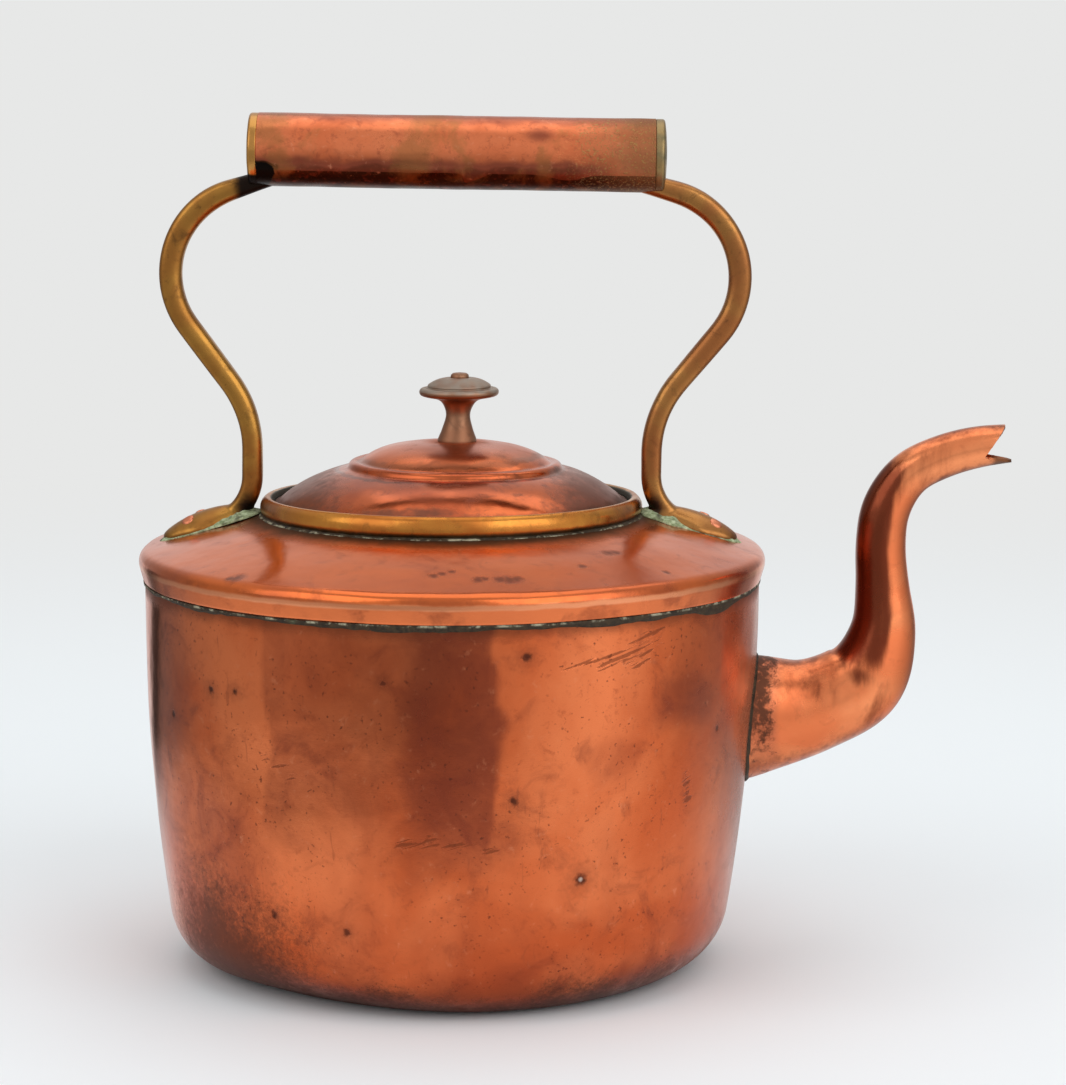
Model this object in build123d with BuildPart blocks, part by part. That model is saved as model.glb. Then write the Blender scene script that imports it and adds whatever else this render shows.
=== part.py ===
from build123d import *
import math
import os

# A copper stove kettle: round body with a turned-in heel, a coned shoulder soldered over it,
# a brass neck ring, a lift-off lid with a turned knob, a swan-neck spout and a tubular grip
# carried on two riveted brass arms. The origin is the middle of the base's underside, +Z is
# up and +X points towards the spout. All sizes are in millimetres and degrees.

# Body
sheet = 1.2                   # copper sheet of the wall and the shoulder
floor_radius = 90.6           # where the wall's line meets the floor before the heel is turned
wall_top_radius = 101.9       # outer face of the wall under the lip
wall_bulge = 3.0              # how far the wall bows out of a straight cone
wall_height = 131.8           # top of the wall's turned-out flange
heel_radius = 22.4            # rounding between the wall and the base
base_radius = 66.0            # plate let into the turned-in heel
base_thickness = 1.4
seam_width = 1.2              # run of brazing metal in the base and wall seams

# Shoulder
lip_overhang = 2.0            # the lip folded over the wall's flange stands this far outside it
shoulder_edge = 7.0           # from the flange's top up to the corner of lip and cone
shoulder_rise = 14.4          # from that corner up to the neck opening
shoulder_round = 9.1          # rounding of that corner
cone_width = 47.3             # from the lip's face in to the opening of the neck
lip_solder_width = 1.5        # solder fillet under the lip
lip_solder_drop = 5.0

# Neck ring
ring_width = 6.7              # from the neck's opening out to the widest part of the ring
ring_height = 5.2             # from the shoulder at the ring's outside up to its crest
ring_belly = 1.5              # height of the widest part over the shoulder
ring_foot = 0.7               # how far the ring's outer foot is drawn in
ring_crest = 0.6              # flat of the crest outside the rebate
seat_depth = 2.5              # from the crest down to the lid's seat
seat_width = 2.4              # ledge that carries the lid
ring_solder_width = 1.3

# Lid
lid_sheet = 1.0
lid_play = 0.6                # radial clearance of the lid's rim and of its skirt
lid_flat = 0.9                # flat rim that rests on the seat
lid_dome_rise = 9.3           # from the rim up to the foot of the bead
lid_dome_bulge = 2.0
lid_dome_width = 21.2         # from the lid's edge in to the outer foot of the bead
bead_width = 7.6
bead_rise = 3.6
groove_depth = 0.5            # from the bead's crest down to the groove round the crown
crown_rise = 7.3              # from that groove up to the middle of the lid
crown_slope = 0.7             # fall of the crown at its edge
bead_round = 0.8
skirt_depth = 11.0            # below the seat
skirt_sheet = 0.9

# Knob
knob_offset = 2.9             # the knob stands this far towards the spout from the lid's middle
knob_base_radius = 6.5
knob_flare = 1.6              # height of the flared base's widest part
knob_waist_radius = 4.1
knob_waist_height = 9.6
knob_rim_radius = 13.2
knob_rim_height = 16.4
knob_rim_thickness = 2.6
knob_rim_bulge = 1.0          # how far the rim's edge is rounded out
knob_foot_lean = (-0.3, 1)    # direction of the stem's side where it leaves the base
knob_rim_flare = (1, 0.3)     # and where it meets the rim
knob_button_radius = 10.4     # raised button inside the rim
knob_button_bulge = 0.6
knob_height = 21.0
knob_land_radius = 3.4        # flat on the button that carries the pin's head
pin_radius = 2.0
pin_head_radius = 3.0
pin_head_height = 1.9
washer_radius = 5.5
washer_thickness = 1.0

# Spout
spout_sheet = 1.0
spout_height = 82.0           # middle of the root
spout_collar_width = 2.4
spout_collar_thickness = 1.1
# Middle of the tube as (out from the wall, above the root's middle), with half its height and
# half its width there. The first station lies inside the kettle, the last one past the mouth.
spout_stations = [
    ((-8.0, -1.4), 21.6, 18.2),
    ((0.7, 0.0), 20.4, 17.0),
    ((21.7, 4.0), 16.6, 15.0),
    ((36.8, 13.0), 14.6, 13.2),
    ((43.8, 29.5), 10.7, 10.5),
    ((43.4, 45.0), 8.8, 8.8),
    ((42.7, 58.0), 8.3, 8.3),
    ((44.0, 69.5), 8.1, 8.1),
    ((51.7, 81.9), 7.5, 7.5),
    ((62.9, 87.7), 7.2, 7.2),
    ((74.0, 90.8), 6.9, 7.0),
    ((87.5, 92.4), 6.2, 6.6),
]
# Beak: the mouth is cut to a V that is open to the front.
beak_notch = (75.9, 87.8)
beak_upper_tip = (82.2, 97.2)
beak_lower_tip = (85.6, 85.8)
beak_cut_reach = 3            # the cut runs on to this many times the tips' distance

# Handle
foot_gap = 17.7               # from the ring's widest part out to the middle of each foot
# A foot's outline is drawn round circles, each given as (outwards from the foot's middle, radius).
foot_circles = [(-12.5, 4.4), (3.5, 8.3), (10.4, 6.4)]
foot_height = 5.6             # highest point over the shoulder
foot_crest = -3.0             # place of that point, outwards from the foot's middle
foot_bow = 48.0               # radius of the foot's back along its length
foot_camber = 11.0            # and across it
foot_solder_width = 1.3
foot_solder_height = 0.7
arm_width = 8.4
arm_thickness = 6.7
arm_round = 3.1
arm_root_inset = 6.5          # an arm starts this far inside the grip's end
arm_root_drop = 8.1           # and this far below the grip's axis
# Corners of an arm's middle line as (out from the middle of its foot, above the feet), each
# with the radius of its bend.
arm_bow = (33.7, 99.2)
arm_bow_radius = 30.0
arm_waist = (-15.0, 38.1)
arm_waist_radius = 38.0
arm_ankle = (-15.0, 4.9)
arm_ankle_radius = 17.0
handle_lean = 0.9             # the handle leans towards the spout by this angle
handle_shift = 0.75           # and its middle stands this far towards the spout
grip_height = 123.9           # axis of the grip above the feet
grip_half_length = 65.0
grip_radius = 12.0
grip_sheet = 1.0
lap_step = 0.5                # step of the rolled tube's lap seam
lap_angle = 30.0              # the seam lies this far below the front of the tube
cap_band = 2.6
cap_dome = 1.2
cap_edge = 0.6
spigot_length = 6.0
rivet_radius = 1.6
rivet_head_radius = 2.4
rivet_head_height = 0.8
rivet_sink = 0.7              # how deep the hammered head sits in the foot
burr_radius = 2.7
burr_height = 0.8
rivet_places = [(7.2, -3.2), (2.9, 3.3)]   # (outwards, across) from the middle of the foot

# Sizes that follow from the ones above
lip_bottom = wall_height - 2 * sheet
lip_radius = wall_top_radius + lip_overhang
neck_bore = lip_radius - cone_width
ring_radius = neck_bore + ring_width
foot_radius = ring_radius + foot_gap
corner_height = wall_height + shoulder_edge
cone_slope = shoulder_rise / (lip_radius - neck_bore)
cone_angle = math.degrees(math.atan(cone_slope))


def cone_height(radius):
    """Height of the shoulder's outer face at a radius."""
    return corner_height + (lip_radius - radius) * cone_slope


crest_height = cone_height(ring_radius) + ring_height
seat_height = crest_height - seat_depth
rebate_radius = neck_bore + seat_width
lid_radius = rebate_radius - lid_play
bead_radius = lid_radius - lid_dome_width
lid_rim_top = seat_height + lid_sheet
skirt_radius = neck_bore - lid_play
foot_level = cone_height(foot_radius)
bead_foot = lid_rim_top + lid_dome_rise
bead_crest = bead_foot + bead_rise
crown_height = bead_crest - groove_depth + crown_rise


def save(piece, name):
    """Labels a finished piece and writes it as parts/NAME.step."""
    piece.part.label = name
    export_step(piece.part, f"parts/{name}.step")


os.makedirs("parts", exist_ok=True)


# ---- Outlines that several pieces share ----

# Half sections are drawn towards the back, where the wall's seam is.
section_plane = Plane.YZ


def wall_region(inset):
    """Half section of everything inside the body wall's outer face, less inset all round."""
    with BuildSketch(section_plane) as region:
        with BuildLine():
            floor = Line((0, inset), (floor_radius - inset, inset))
            wall = SagittaArc(floor @ 1, (wall_top_radius - inset, wall_height), -wall_bulge)
            Polyline(wall @ 1, (0, wall_height), floor @ 0)
        make_face()
        heel = region.vertices().group_by(Axis.Y)[0].sort_by(Axis.X)[-1]
        fillet(heel, radius=heel_radius - inset)
    return region.sketch


def shoulder_region(inset):
    """Half section of everything inside the shoulder's outer face, less inset all round."""
    edge = corner_height - inset * math.sqrt(1 + cone_slope**2) + inset * cone_slope
    neck = edge + (lip_radius - inset - neck_bore) * cone_slope
    with BuildSketch(section_plane) as region:
        with BuildLine():
            Polyline(
                (0, lip_bottom),
                (lip_radius - inset, lip_bottom),
                (lip_radius - inset, edge),
                (neck_bore, neck),
                (0, neck),
                close=True,
            )
        make_face()
        corner = region.vertices().sort_by(Axis.X)[-2:].sort_by(Axis.Y)[-1]
        fillet(corner, radius=shoulder_round - inset)
    return region.sketch


def lid_region(drop):
    """Half section of everything under the lid's outer face, moved down by drop."""
    groove_radius = bead_radius - bead_width
    with BuildSketch(section_plane) as region:
        with BuildLine():
            rim = Polyline(
                (0, seat_height - skirt_depth - drop),
                (lid_radius, seat_height - skirt_depth - drop),
                (lid_radius, lid_rim_top - drop),
                (lid_radius - lid_flat, lid_rim_top - drop),
            )
            dome = SagittaArc(rim @ 1, (bead_radius, bead_foot - drop), -lid_dome_bulge)
            bead = ThreePointArc(
                dome @ 1,
                (bead_radius - bead_width / 2, bead_crest - drop),
                (groove_radius, bead_crest - groove_depth - drop),
            )
            crown = Spline(
                (0, crown_height - drop), bead @ 1, tangents=[(1, 0), (1, -crown_slope)]
            )
            Line(crown @ 0, rim @ 0)
        make_face()
        creases = region.vertices().filter_by_position(
            Axis.X, groove_radius, bead_radius, (True, True)
        )
        fillet(creases, radius=bead_round)
    return region.sketch


def ring_region():
    """Half section of the neck ring, standing on the shoulder's cone."""
    foot_out = ring_radius - ring_foot
    with BuildSketch(section_plane) as region:
        with BuildLine():
            roll = ThreePointArc(
                (foot_out, cone_height(foot_out)),
                (ring_radius, cone_height(ring_radius) + ring_belly),
                (rebate_radius + ring_crest, crest_height),
            )
            Polyline(
                roll @ 1,
                (rebate_radius, crest_height),
                (rebate_radius, seat_height),
                (neck_bore, seat_height),
                (neck_bore, cone_height(neck_bore)),
                roll @ 0,
            )
        make_face()
        crest = region.vertices().group_by(Axis.Y)[-1]
        fillet(crest, radius=ring_crest / 3)
    return region.sketch


# ---- Body ----

with BuildPart() as body_fill:
    revolve(wall_region(0), axis=Axis.Z)

with BuildPart() as shoulder_fill:
    revolve(shoulder_region(0), axis=Axis.Z)

# The vertical seam is a strip through the wall at the back, from the base seam to the flange.
with BuildPart() as seam_cutter:
    with BuildSketch(Plane.XY) as seam_plan:
        with Locations((0, lip_radius)):
            Rectangle(seam_width, 2 * (lip_radius - base_radius))
    extrude(amount=wall_height)

seam_outside = base_radius + seam_width
with BuildPart() as wall_shell:
    revolve(wall_region(0), axis=Axis.Z)
    revolve(wall_region(sheet), axis=Axis.Z, mode=Mode.SUBTRACT)
    with BuildSketch(Plane.XY.offset(wall_height - sheet)) as flange:
        Circle(lip_radius - sheet)
        Circle(wall_top_radius - sheet / 2, mode=Mode.SUBTRACT)
    extrude(amount=sheet)
    with BuildSketch(Plane.XY):
        Circle(seam_outside)
    extrude(amount=base_thickness, mode=Mode.SUBTRACT)


# ---- Spout ----


def wall_radius(height):
    """Radius of the wall's outer face at a height above its heel."""
    taper = wall_top_radius - floor_radius
    chord = math.hypot(taper, wall_height)
    bow = (chord**2 / 4 + wall_bulge**2) / (2 * wall_bulge)
    middle_radius = (floor_radius + wall_top_radius) / 2 + (wall_bulge - bow) * wall_height / chord
    middle_height = wall_height / 2 - (wall_bulge - bow) * taper / chord
    return middle_radius + math.sqrt(bow**2 - (height - middle_height) ** 2)


spout_root = Vector(wall_radius(spout_height), 0, spout_height)


def spout_point(place):
    """A place in the spout's side view as a point in space."""
    return spout_root + Vector(place[0], 0, place[1])


def spout_tube_fill(inset):
    """The spout as a closed tube, less inset all round."""
    with BuildPart() as tube:
        with BuildLine(mode=Mode.PRIVATE):
            path = Spline(*[spout_point(place) for place, _, _ in spout_stations])
        for place, half_height, half_width in spout_stations:
            direction = path % path.param_at_point(spout_point(place))
            across = Plane(origin=spout_point(place), x_dir=(0, 1, 0), z_dir=direction)
            with BuildSketch(across):
                Ellipse(half_width - inset, half_height - inset)
        loft()
    return tube


spout_outside = spout_tube_fill(0)
spout_bore = spout_tube_fill(spout_sheet)

with BuildPart() as beak_cutter:
    with BuildSketch(Plane.XZ) as beak_side:
        with BuildLine():
            notch = spout_point(beak_notch)
            upper = notch + (spout_point(beak_upper_tip) - notch) * beak_cut_reach
            lower = notch + (spout_point(beak_lower_tip) - notch) * beak_cut_reach
            Polyline(*[(p.X, p.Z) for p in (notch, upper, lower)], close=True)
        make_face()
    extrude(amount=lip_radius, both=True)

with BuildPart() as spout_tube:
    add(spout_outside.part)
    add(spout_bore.part, mode=Mode.SUBTRACT)
    add(body_fill.part, mode=Mode.SUBTRACT)
    add(beak_cutter.part, mode=Mode.SUBTRACT)
save(spout_tube, "spout_tube")

_, root_half_height, root_half_width = spout_stations[1]
with BuildPart() as spout_collar:
    revolve(wall_region(-spout_collar_thickness), axis=Axis.Z)
    revolve(wall_region(0), axis=Axis.Z, mode=Mode.SUBTRACT)
    with BuildSketch(Plane.YZ):
        with Locations((0, spout_height)):
            Ellipse(
                root_half_width + spout_collar_width,
                root_half_height + spout_collar_width,
            )
    extrude(amount=2 * lip_radius, mode=Mode.INTERSECT)
    add(spout_outside.part, mode=Mode.SUBTRACT)
save(spout_collar, "spout_collar")


# ---- Wall and base ----

with BuildPart() as wall_seam:
    add(wall_shell.part)
    add(seam_cutter.part, mode=Mode.INTERSECT)
save(wall_seam, "wall_seam")

with BuildPart() as body_wall:
    add(wall_shell.part)
    add(seam_cutter.part, mode=Mode.SUBTRACT)
    add(spout_bore.part, mode=Mode.SUBTRACT)
save(body_wall, "body_wall")

with BuildPart() as base_plate:
    with BuildSketch(Plane.XY):
        Circle(base_radius)
    extrude(amount=base_thickness)
save(base_plate, "base_plate")

with BuildPart() as base_seam:
    with BuildSketch(Plane.XY):
        Circle(seam_outside)
        Circle(base_radius, mode=Mode.SUBTRACT)
    extrude(amount=base_thickness)
save(base_seam, "base_seam")


# ---- Neck ring and its solder ----

with BuildPart() as neck_ring:
    revolve(ring_region(), axis=Axis.Z)
save(neck_ring, "neck_ring")

with BuildPart() as ring_solder:
    solder_inside = ring_radius - 2 * ring_foot
    solder_outside = ring_radius + ring_solder_width
    with BuildSketch(section_plane):
        with BuildLine():
            Polyline(
                (solder_inside, cone_height(solder_inside)),
                (solder_outside, cone_height(solder_outside)),
                (ring_radius, cone_height(ring_radius) + ring_solder_width),
                (solder_inside, cone_height(solder_inside) + ring_solder_width),
                close=True,
            )
        make_face()
    revolve(axis=Axis.Z)
    add(neck_ring.part, mode=Mode.SUBTRACT)
save(ring_solder, "ring_solder")

with BuildPart() as lip_solder:
    solder_low = lip_bottom - lip_solder_drop
    with BuildSketch(section_plane):
        with BuildLine():
            Polyline(
                (wall_radius(solder_low) - sheet / 2, solder_low),
                (wall_radius(solder_low), solder_low),
                (wall_radius(lip_bottom) + lip_solder_width, lip_bottom),
                (wall_radius(lip_bottom) - sheet / 2, lip_bottom),
                close=True,
            )
        make_face()
    revolve(axis=Axis.Z)
    add(body_fill.part, mode=Mode.SUBTRACT)
save(lip_solder, "lip_solder")


# ---- Handle ----

slope_out = Vector(math.cos(math.radians(cone_angle)), 0, -math.sin(math.radians(cone_angle)))
slope_up = Vector(math.sin(math.radians(cone_angle)), 0, math.cos(math.radians(cone_angle)))
foot_middle = (foot_radius, 0, foot_level)
foot_ground = Plane(origin=foot_middle, x_dir=slope_out, z_dir=slope_up)
foot_side = Plane(origin=foot_middle, x_dir=slope_out, z_dir=(0, -1, 0))

foot_axis_depth = foot_camber - foot_height


def foot_rise(out, across):
    """Height of a foot's back over the shoulder at a place on it."""
    fall = foot_bow - math.sqrt(foot_bow**2 - (out - foot_crest) ** 2)
    return math.sqrt((foot_camber - fall) ** 2 - across**2) - foot_axis_depth


def foot_outline(margin):
    """Leaf-shaped outline of a foot on the shoulder, grown by margin."""
    with BuildSketch(foot_ground) as leaf:
        for out, radius in foot_circles:
            with Locations((out, 0)):
                Circle(radius + margin)
        make_hull()
    return leaf.sketch


heel_end = foot_circles[0][0] - foot_circles[0][1] - foot_solder_width
tip_end = foot_circles[-1][0] + foot_circles[-1][1] + foot_solder_width
foot_axis = Axis(foot_side.from_local_coords((0, -foot_axis_depth, 0)), slope_out)

with BuildPart() as foot_fill:
    add(foot_outline(0))
    extrude(amount=foot_height, both=True)
    with BuildSketch(foot_side):
        with BuildLine():
            back = ThreePointArc(
                (heel_end, foot_rise(heel_end, 0)),
                (foot_crest, foot_height),
                (tip_end, foot_rise(tip_end, 0)),
            )
            Polyline(
                back @ 1, (tip_end, -foot_axis_depth), (heel_end, -foot_axis_depth), back @ 0
            )
        make_face()
    revolve(axis=foot_axis, mode=Mode.INTERSECT)

with BuildPart() as front_rivets:
    for out, across in rivet_places:
        head_foot = foot_rise(out, across) - rivet_sink
        with BuildSketch(foot_ground.offset(-sheet - burr_height)):
            with Locations((out, across)):
                Circle(burr_radius)
        extrude(amount=burr_height)
        with BuildSketch(foot_ground.offset(-sheet)):
            with Locations((out, across)):
                Circle(rivet_radius)
        extrude(amount=sheet + head_foot)
        with BuildSketch(foot_ground.offset(head_foot)):
            with Locations((out, across)):
                Circle(rivet_head_radius)
        extrude(amount=rivet_sink + rivet_head_height)
    head_tops = front_rivets.edges().filter_by(GeomType.CIRCLE).group_by(SortBy.RADIUS)[1]
    fillet(head_tops, radius=rivet_head_height / 2)

with BuildPart() as handle_rivets:
    add(front_rivets.part)
    mirror(about=Plane.YZ)
save(handle_rivets, "handle_rivets")


def leaned(side, place):
    """A corner of an arm's middle line, bent over by the handle's lean. side is +1 in front."""
    out, up = place
    lean = math.tan(math.radians(handle_lean))
    drop = side * out * lean * up / grip_height
    return (handle_shift + side * out + up * lean, foot_level + up - drop)


def arm_fill(side):
    """The bent bar of an arm, from inside the grip down into its foot."""
    root = (grip_half_length - arm_root_inset, grip_height - arm_root_drop)
    toe = (0, arm_ankle[1] + arm_ankle[0] * cone_slope)
    corners = [(foot_radius + out, up) for out, up in (arm_bow, arm_waist, arm_ankle, toe)]
    bends = [arm_bow_radius, arm_waist_radius, arm_ankle_radius]
    with BuildPart() as bar:
        with BuildLine(Plane.XZ):
            points = [leaned(side, corner) for corner in (root, *corners)]
            middle = FilletPolyline(*points, radius=bends)
        start = Plane(origin=middle @ 0, x_dir=(0, 1, 0), z_dir=middle % 0)
        with BuildSketch(start):
            RectangleRounded(arm_width, arm_thickness, arm_round)
        sweep()
        add(foot_fill.part if side > 0 else foot_fill.part.mirror(Plane.YZ))
    return bar


def make_arm(side):
    """One brass arm with its foot, seated on the shoulder beside the neck ring."""
    with BuildPart() as arm:
        add(arm_fill(side).part)
        add(shoulder_fill.part, mode=Mode.SUBTRACT)
        add(neck_ring.part, mode=Mode.SUBTRACT)
        add(ring_solder.part, mode=Mode.SUBTRACT)
        add(handle_rivets.part, mode=Mode.SUBTRACT)
    return arm


handle_arm_front = make_arm(1)
save(handle_arm_front, "handle_arm_front")
handle_arm_rear = make_arm(-1)
save(handle_arm_rear, "handle_arm_rear")

# The solder that the feet were bedded in shows as a thin rim round each of them.
with BuildPart() as foot_solder:
    add(foot_outline(foot_solder_width))
    extrude(amount=foot_solder_height, both=True)
    mirror(about=Plane.YZ)
    for piece in (shoulder_fill, neck_ring, ring_solder, handle_arm_front, handle_arm_rear):
        add(piece.part, mode=Mode.SUBTRACT)
    add(handle_rivets.part, mode=Mode.SUBTRACT)
save(foot_solder, "foot_solder")

with BuildPart() as shoulder:
    revolve(shoulder_region(0), axis=Axis.Z)
    revolve(shoulder_region(sheet), axis=Axis.Z, mode=Mode.SUBTRACT)
    with BuildSketch(Plane.XY.offset(corner_height)):
        Circle(neck_bore)
    extrude(amount=2 * shoulder_rise, mode=Mode.SUBTRACT)
    with BuildSketch(Plane.XY.offset(lip_bottom)):
        Circle(lip_radius - sheet / 2)
        Circle(wall_radius(lip_bottom) - sheet, mode=Mode.SUBTRACT)
    extrude(amount=sheet)
    add(body_fill.part, mode=Mode.SUBTRACT)
    add(handle_rivets.part, mode=Mode.SUBTRACT)
save(shoulder, "shoulder")


# ---- Grip ----

lean_angle = math.radians(handle_lean)
grip_middle = (handle_shift + grip_height * math.tan(lean_angle), 0, foot_level + grip_height)
grip_along = Vector(math.cos(lean_angle), 0, -math.sin(lean_angle))
grip_plane = Plane(origin=grip_middle, x_dir=(0, 1, 0), z_dir=grip_along)
both_arms = [handle_arm_front.part, handle_arm_rear.part]

with BuildPart() as grip_tube:
    with BuildSketch(grip_plane):
        with BuildLine():
            seam = 180 + lap_angle
            inner_edge = Vector(grip_radius, 0).rotate(Axis.Z, seam)
            outer_edge = Vector(grip_radius + lap_step, 0).rotate(Axis.Z, seam)
            ThreePointArc(
                outer_edge,
                Vector(grip_radius + lap_step / 2, 0).rotate(Axis.Z, (seam + 90) / 2),
                (0, grip_radius),
            )
            CenterArc((0, 0), grip_radius, seam, 450 - seam)
            Line(inner_edge, outer_edge)
        make_face()
        Circle(grip_radius - grip_sheet, mode=Mode.SUBTRACT)
    extrude(amount=grip_half_length, both=True)
    add(both_arms, mode=Mode.SUBTRACT)
save(grip_tube, "grip_tube")


def make_cap(side):
    """A brass plug in one end of the grip, notched for its arm."""
    end = grip_plane.offset(side * grip_half_length)
    half = Plane(origin=end.origin, x_dir=grip_along * side, z_dir=(0, -side, 0))
    with BuildPart() as cap:
        with BuildSketch(half) as profile:
            with BuildLine():
                edge = Polyline(
                    (0, 0),
                    (-spigot_length, 0),
                    (-spigot_length, grip_radius - grip_sheet),
                    (0, grip_radius - grip_sheet),
                    (0, grip_radius),
                    (cap_band, grip_radius),
                )
                face = TangentArc((cap_band + cap_dome, 0), edge @ 1, tangent=(0, 1))
                Line(face @ 0, edge @ 0)
            make_face()
            fillet(profile.vertices().group_by(Axis.Y)[-1].sort_by(Axis.X)[-1], radius=cap_edge)
        revolve(axis=Axis(end.origin, grip_along))
        add(arm_fill(side).part, mode=Mode.SUBTRACT)
    return cap


grip_cap_front = make_cap(1)
save(grip_cap_front, "grip_cap_front")
grip_cap_rear = make_cap(-1)
save(grip_cap_rear, "grip_cap_rear")


# ---- Lid ----

crown_top = (knob_offset, 0, crown_height)
knob_plane = Plane(origin=crown_top)
knob_side = Plane(origin=crown_top, x_dir=(1, 0, 0), z_dir=(0, -1, 0))
washer_plane = knob_plane.offset(-lid_sheet - washer_thickness)

with BuildPart() as lid_fill:
    revolve(lid_region(0), axis=Axis.Z)

with BuildPart() as lid_inside:
    revolve(lid_region(lid_sheet), axis=Axis.Z)

with BuildPart() as knob_pin:
    with BuildSketch(washer_plane):
        Circle(pin_head_radius)
    extrude(amount=-pin_head_height / 2)
    with BuildSketch(washer_plane):
        Circle(pin_radius)
    extrude(amount=washer_thickness + lid_sheet + knob_height)
    with BuildSketch(knob_plane.offset(knob_height)):
        Circle(pin_head_radius)
    extrude(amount=pin_head_height)
    fillet(knob_pin.edges().group_by(Axis.Z)[-1], radius=pin_head_height / 2)
save(knob_pin, "knob_pin")

with BuildPart() as lid_dome:
    add(lid_fill.part)
    add(lid_inside.part, mode=Mode.SUBTRACT)
    add(knob_pin.part, mode=Mode.SUBTRACT)
save(lid_dome, "lid_dome")

with BuildPart() as lid_skirt:
    with BuildSketch(Plane.XY.offset(seat_height - skirt_depth)):
        Circle(skirt_radius)
        Circle(skirt_radius - skirt_sheet, mode=Mode.SUBTRACT)
    extrude(amount=skirt_depth + lid_dome_rise)
    add(lid_inside.part, mode=Mode.INTERSECT)
save(lid_skirt, "lid_skirt")

with BuildPart() as knob_washer:
    with BuildSketch(washer_plane):
        Circle(washer_radius)
    extrude(amount=2 * washer_thickness)
    add(lid_inside.part, mode=Mode.INTERSECT)
    add(knob_pin.part, mode=Mode.SUBTRACT)
save(knob_washer, "knob_washer")

with BuildPart() as lid_knob:
    with BuildSketch(knob_side):
        with BuildLine():
            rim_low = knob_rim_height - knob_rim_thickness / 2
            rim_high = knob_rim_height + knob_rim_thickness / 2
            rim_inner = knob_rim_radius - knob_rim_bulge
            foot = Polyline(
                (0, -lid_sheet), (knob_base_radius, -lid_sheet), (knob_base_radius, knob_flare)
            )
            stem = Spline(
                foot @ 1,
                (knob_waist_radius, knob_waist_height),
                (rim_inner, rim_low),
                tangents=[knob_foot_lean, knob_rim_flare],
            )
            rim = ThreePointArc(
                stem @ 1, (knob_rim_radius, knob_rim_height), (rim_inner, rim_high)
            )
            groove = Line(rim @ 1, (knob_button_radius, rim_high))
            button = SagittaArc(
                groove @ 1, (knob_land_radius, knob_height), -knob_button_bulge
            )
            Polyline(button @ 1, (0, knob_height), foot @ 0)
        make_face()
    revolve(axis=Axis(crown_top, (0, 0, 1)))
    add(lid_fill.part, mode=Mode.SUBTRACT)
    add(knob_pin.part, mode=Mode.SUBTRACT)
save(lid_knob, "lid_knob")
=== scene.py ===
import math

import bmesh
import bpy
import numpy as np
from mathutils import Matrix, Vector, noise


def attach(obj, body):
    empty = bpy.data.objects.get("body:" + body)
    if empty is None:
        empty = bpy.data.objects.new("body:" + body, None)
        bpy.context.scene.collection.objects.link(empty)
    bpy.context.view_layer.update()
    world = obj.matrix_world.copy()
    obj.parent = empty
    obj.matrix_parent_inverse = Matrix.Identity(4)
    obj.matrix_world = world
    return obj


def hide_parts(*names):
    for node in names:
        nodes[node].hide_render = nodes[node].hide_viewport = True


# A copper stove kettle on a plain pale floor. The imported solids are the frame; the pieces made
# here stand for those whose dents, wear or lumpy solder the plain solids don't have. Profiles
# are in millimetres as (radius, height), angles in degrees, and meshes in metres.

MM = 0.001
RAD = math.radians(1)
TURN = 2 * math.pi

# Camera
CAMERA_PLACE = (0.0471, -1.1991, 0.3164)
CAMERA_TILT = 81.659          # from looking straight down
CAMERA_TURN = 0.931
CAMERA_LENS = 120.85          # for the sensor's 36 mm on the image's long side
SENSOR = 36.0

# Body
SHEET = 1.2
WALL_FOOT = 90.6
WALL_TOP = 101.9
WALL_BULGE = 3.0
WALL_HEIGHT = 131.8
HEEL = 22.4
HEEL_MIDDLE = 71.6            # radius of the heel's centre
HEEL_SLOPE = 8.0              # from upright, where the heel meets the wall
WALL_START = 67.2             # inner edge of the turned-in heel
WALL_STEPS = (384, 84)
SPOUT_HEIGHT = 82.0
SPOUT_HOLE = (16.0, 19.4)     # half width and half height of the hole into the spout

# Shoulder
LIP_RADIUS = 103.9
LIP_BOTTOM = 129.7
LIP_FOOT = 102.5              # radius of the lip's lower edge, tucked in under its crease
LIP_CREASE = (103.85, 134.9)
CORNER_HEIGHT = 138.8
CONE_SLOPE = 14.4 / 47.3
CORNER_ROUND = 3.8
NECK = 56.6
NECK_DROP = 0.7               # how far the shoulder has sunk round the neck
NECK_SHIFT = 0.5              # towards the spout

# Ring and lid
RING_RADIUS = 63.3
RING_CREST = 157.5
SEAT = 153.86
REBATE = 59.0
LID_RADIUS = 58.4
LID_RIM = 154.86
LID_SHEET = 1.0
LID_TILT = 0.012              # drop of the dome per millimetre towards the spout
BEAD_FOOT = (35.6, 165.7)
BEAD_CREST = (34.0, 168.0)
GROOVE = (31.9, 167.5)
CROWN = 174.56

# Knob
KNOB_OUT = 2.4                # the knob's place off the lid's middle
KNOB_LEAN = 0.045             # lean of the knob's axis towards the spout


# ---- Numbers and lines ----


def smooth(x, low, high):
    """0 below low, 1 above high and an S curve between, for numbers or arrays."""
    t = np.clip((np.asarray(x, float) - low) / (high - low), 0, 1)
    return t * t * (3 - 2 * t)


def mound(x, middle, half):
    """1 at the middle, falling off round it like a bell."""
    return np.exp(-(((x - middle) / half) ** 2))


def turned_from(angle, middle):
    """The turn from one angle to another, from -180 to 180."""
    return (angle - middle + 180) % 360 - 180


def bearing(points):
    return np.degrees(np.arctan2(points[..., 1], points[..., 0]))


def span(points):
    """Distance from the Z axis."""
    return np.hypot(points[..., 0], points[..., 1])


def full_circle(count):
    return np.linspace(0, TURN, count, endpoint=False)


def circle(angle, radius, z):
    """Points round the Z axis at angles in radians."""
    return np.c_[radius * np.cos(angle), radius * np.sin(angle), z]


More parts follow.
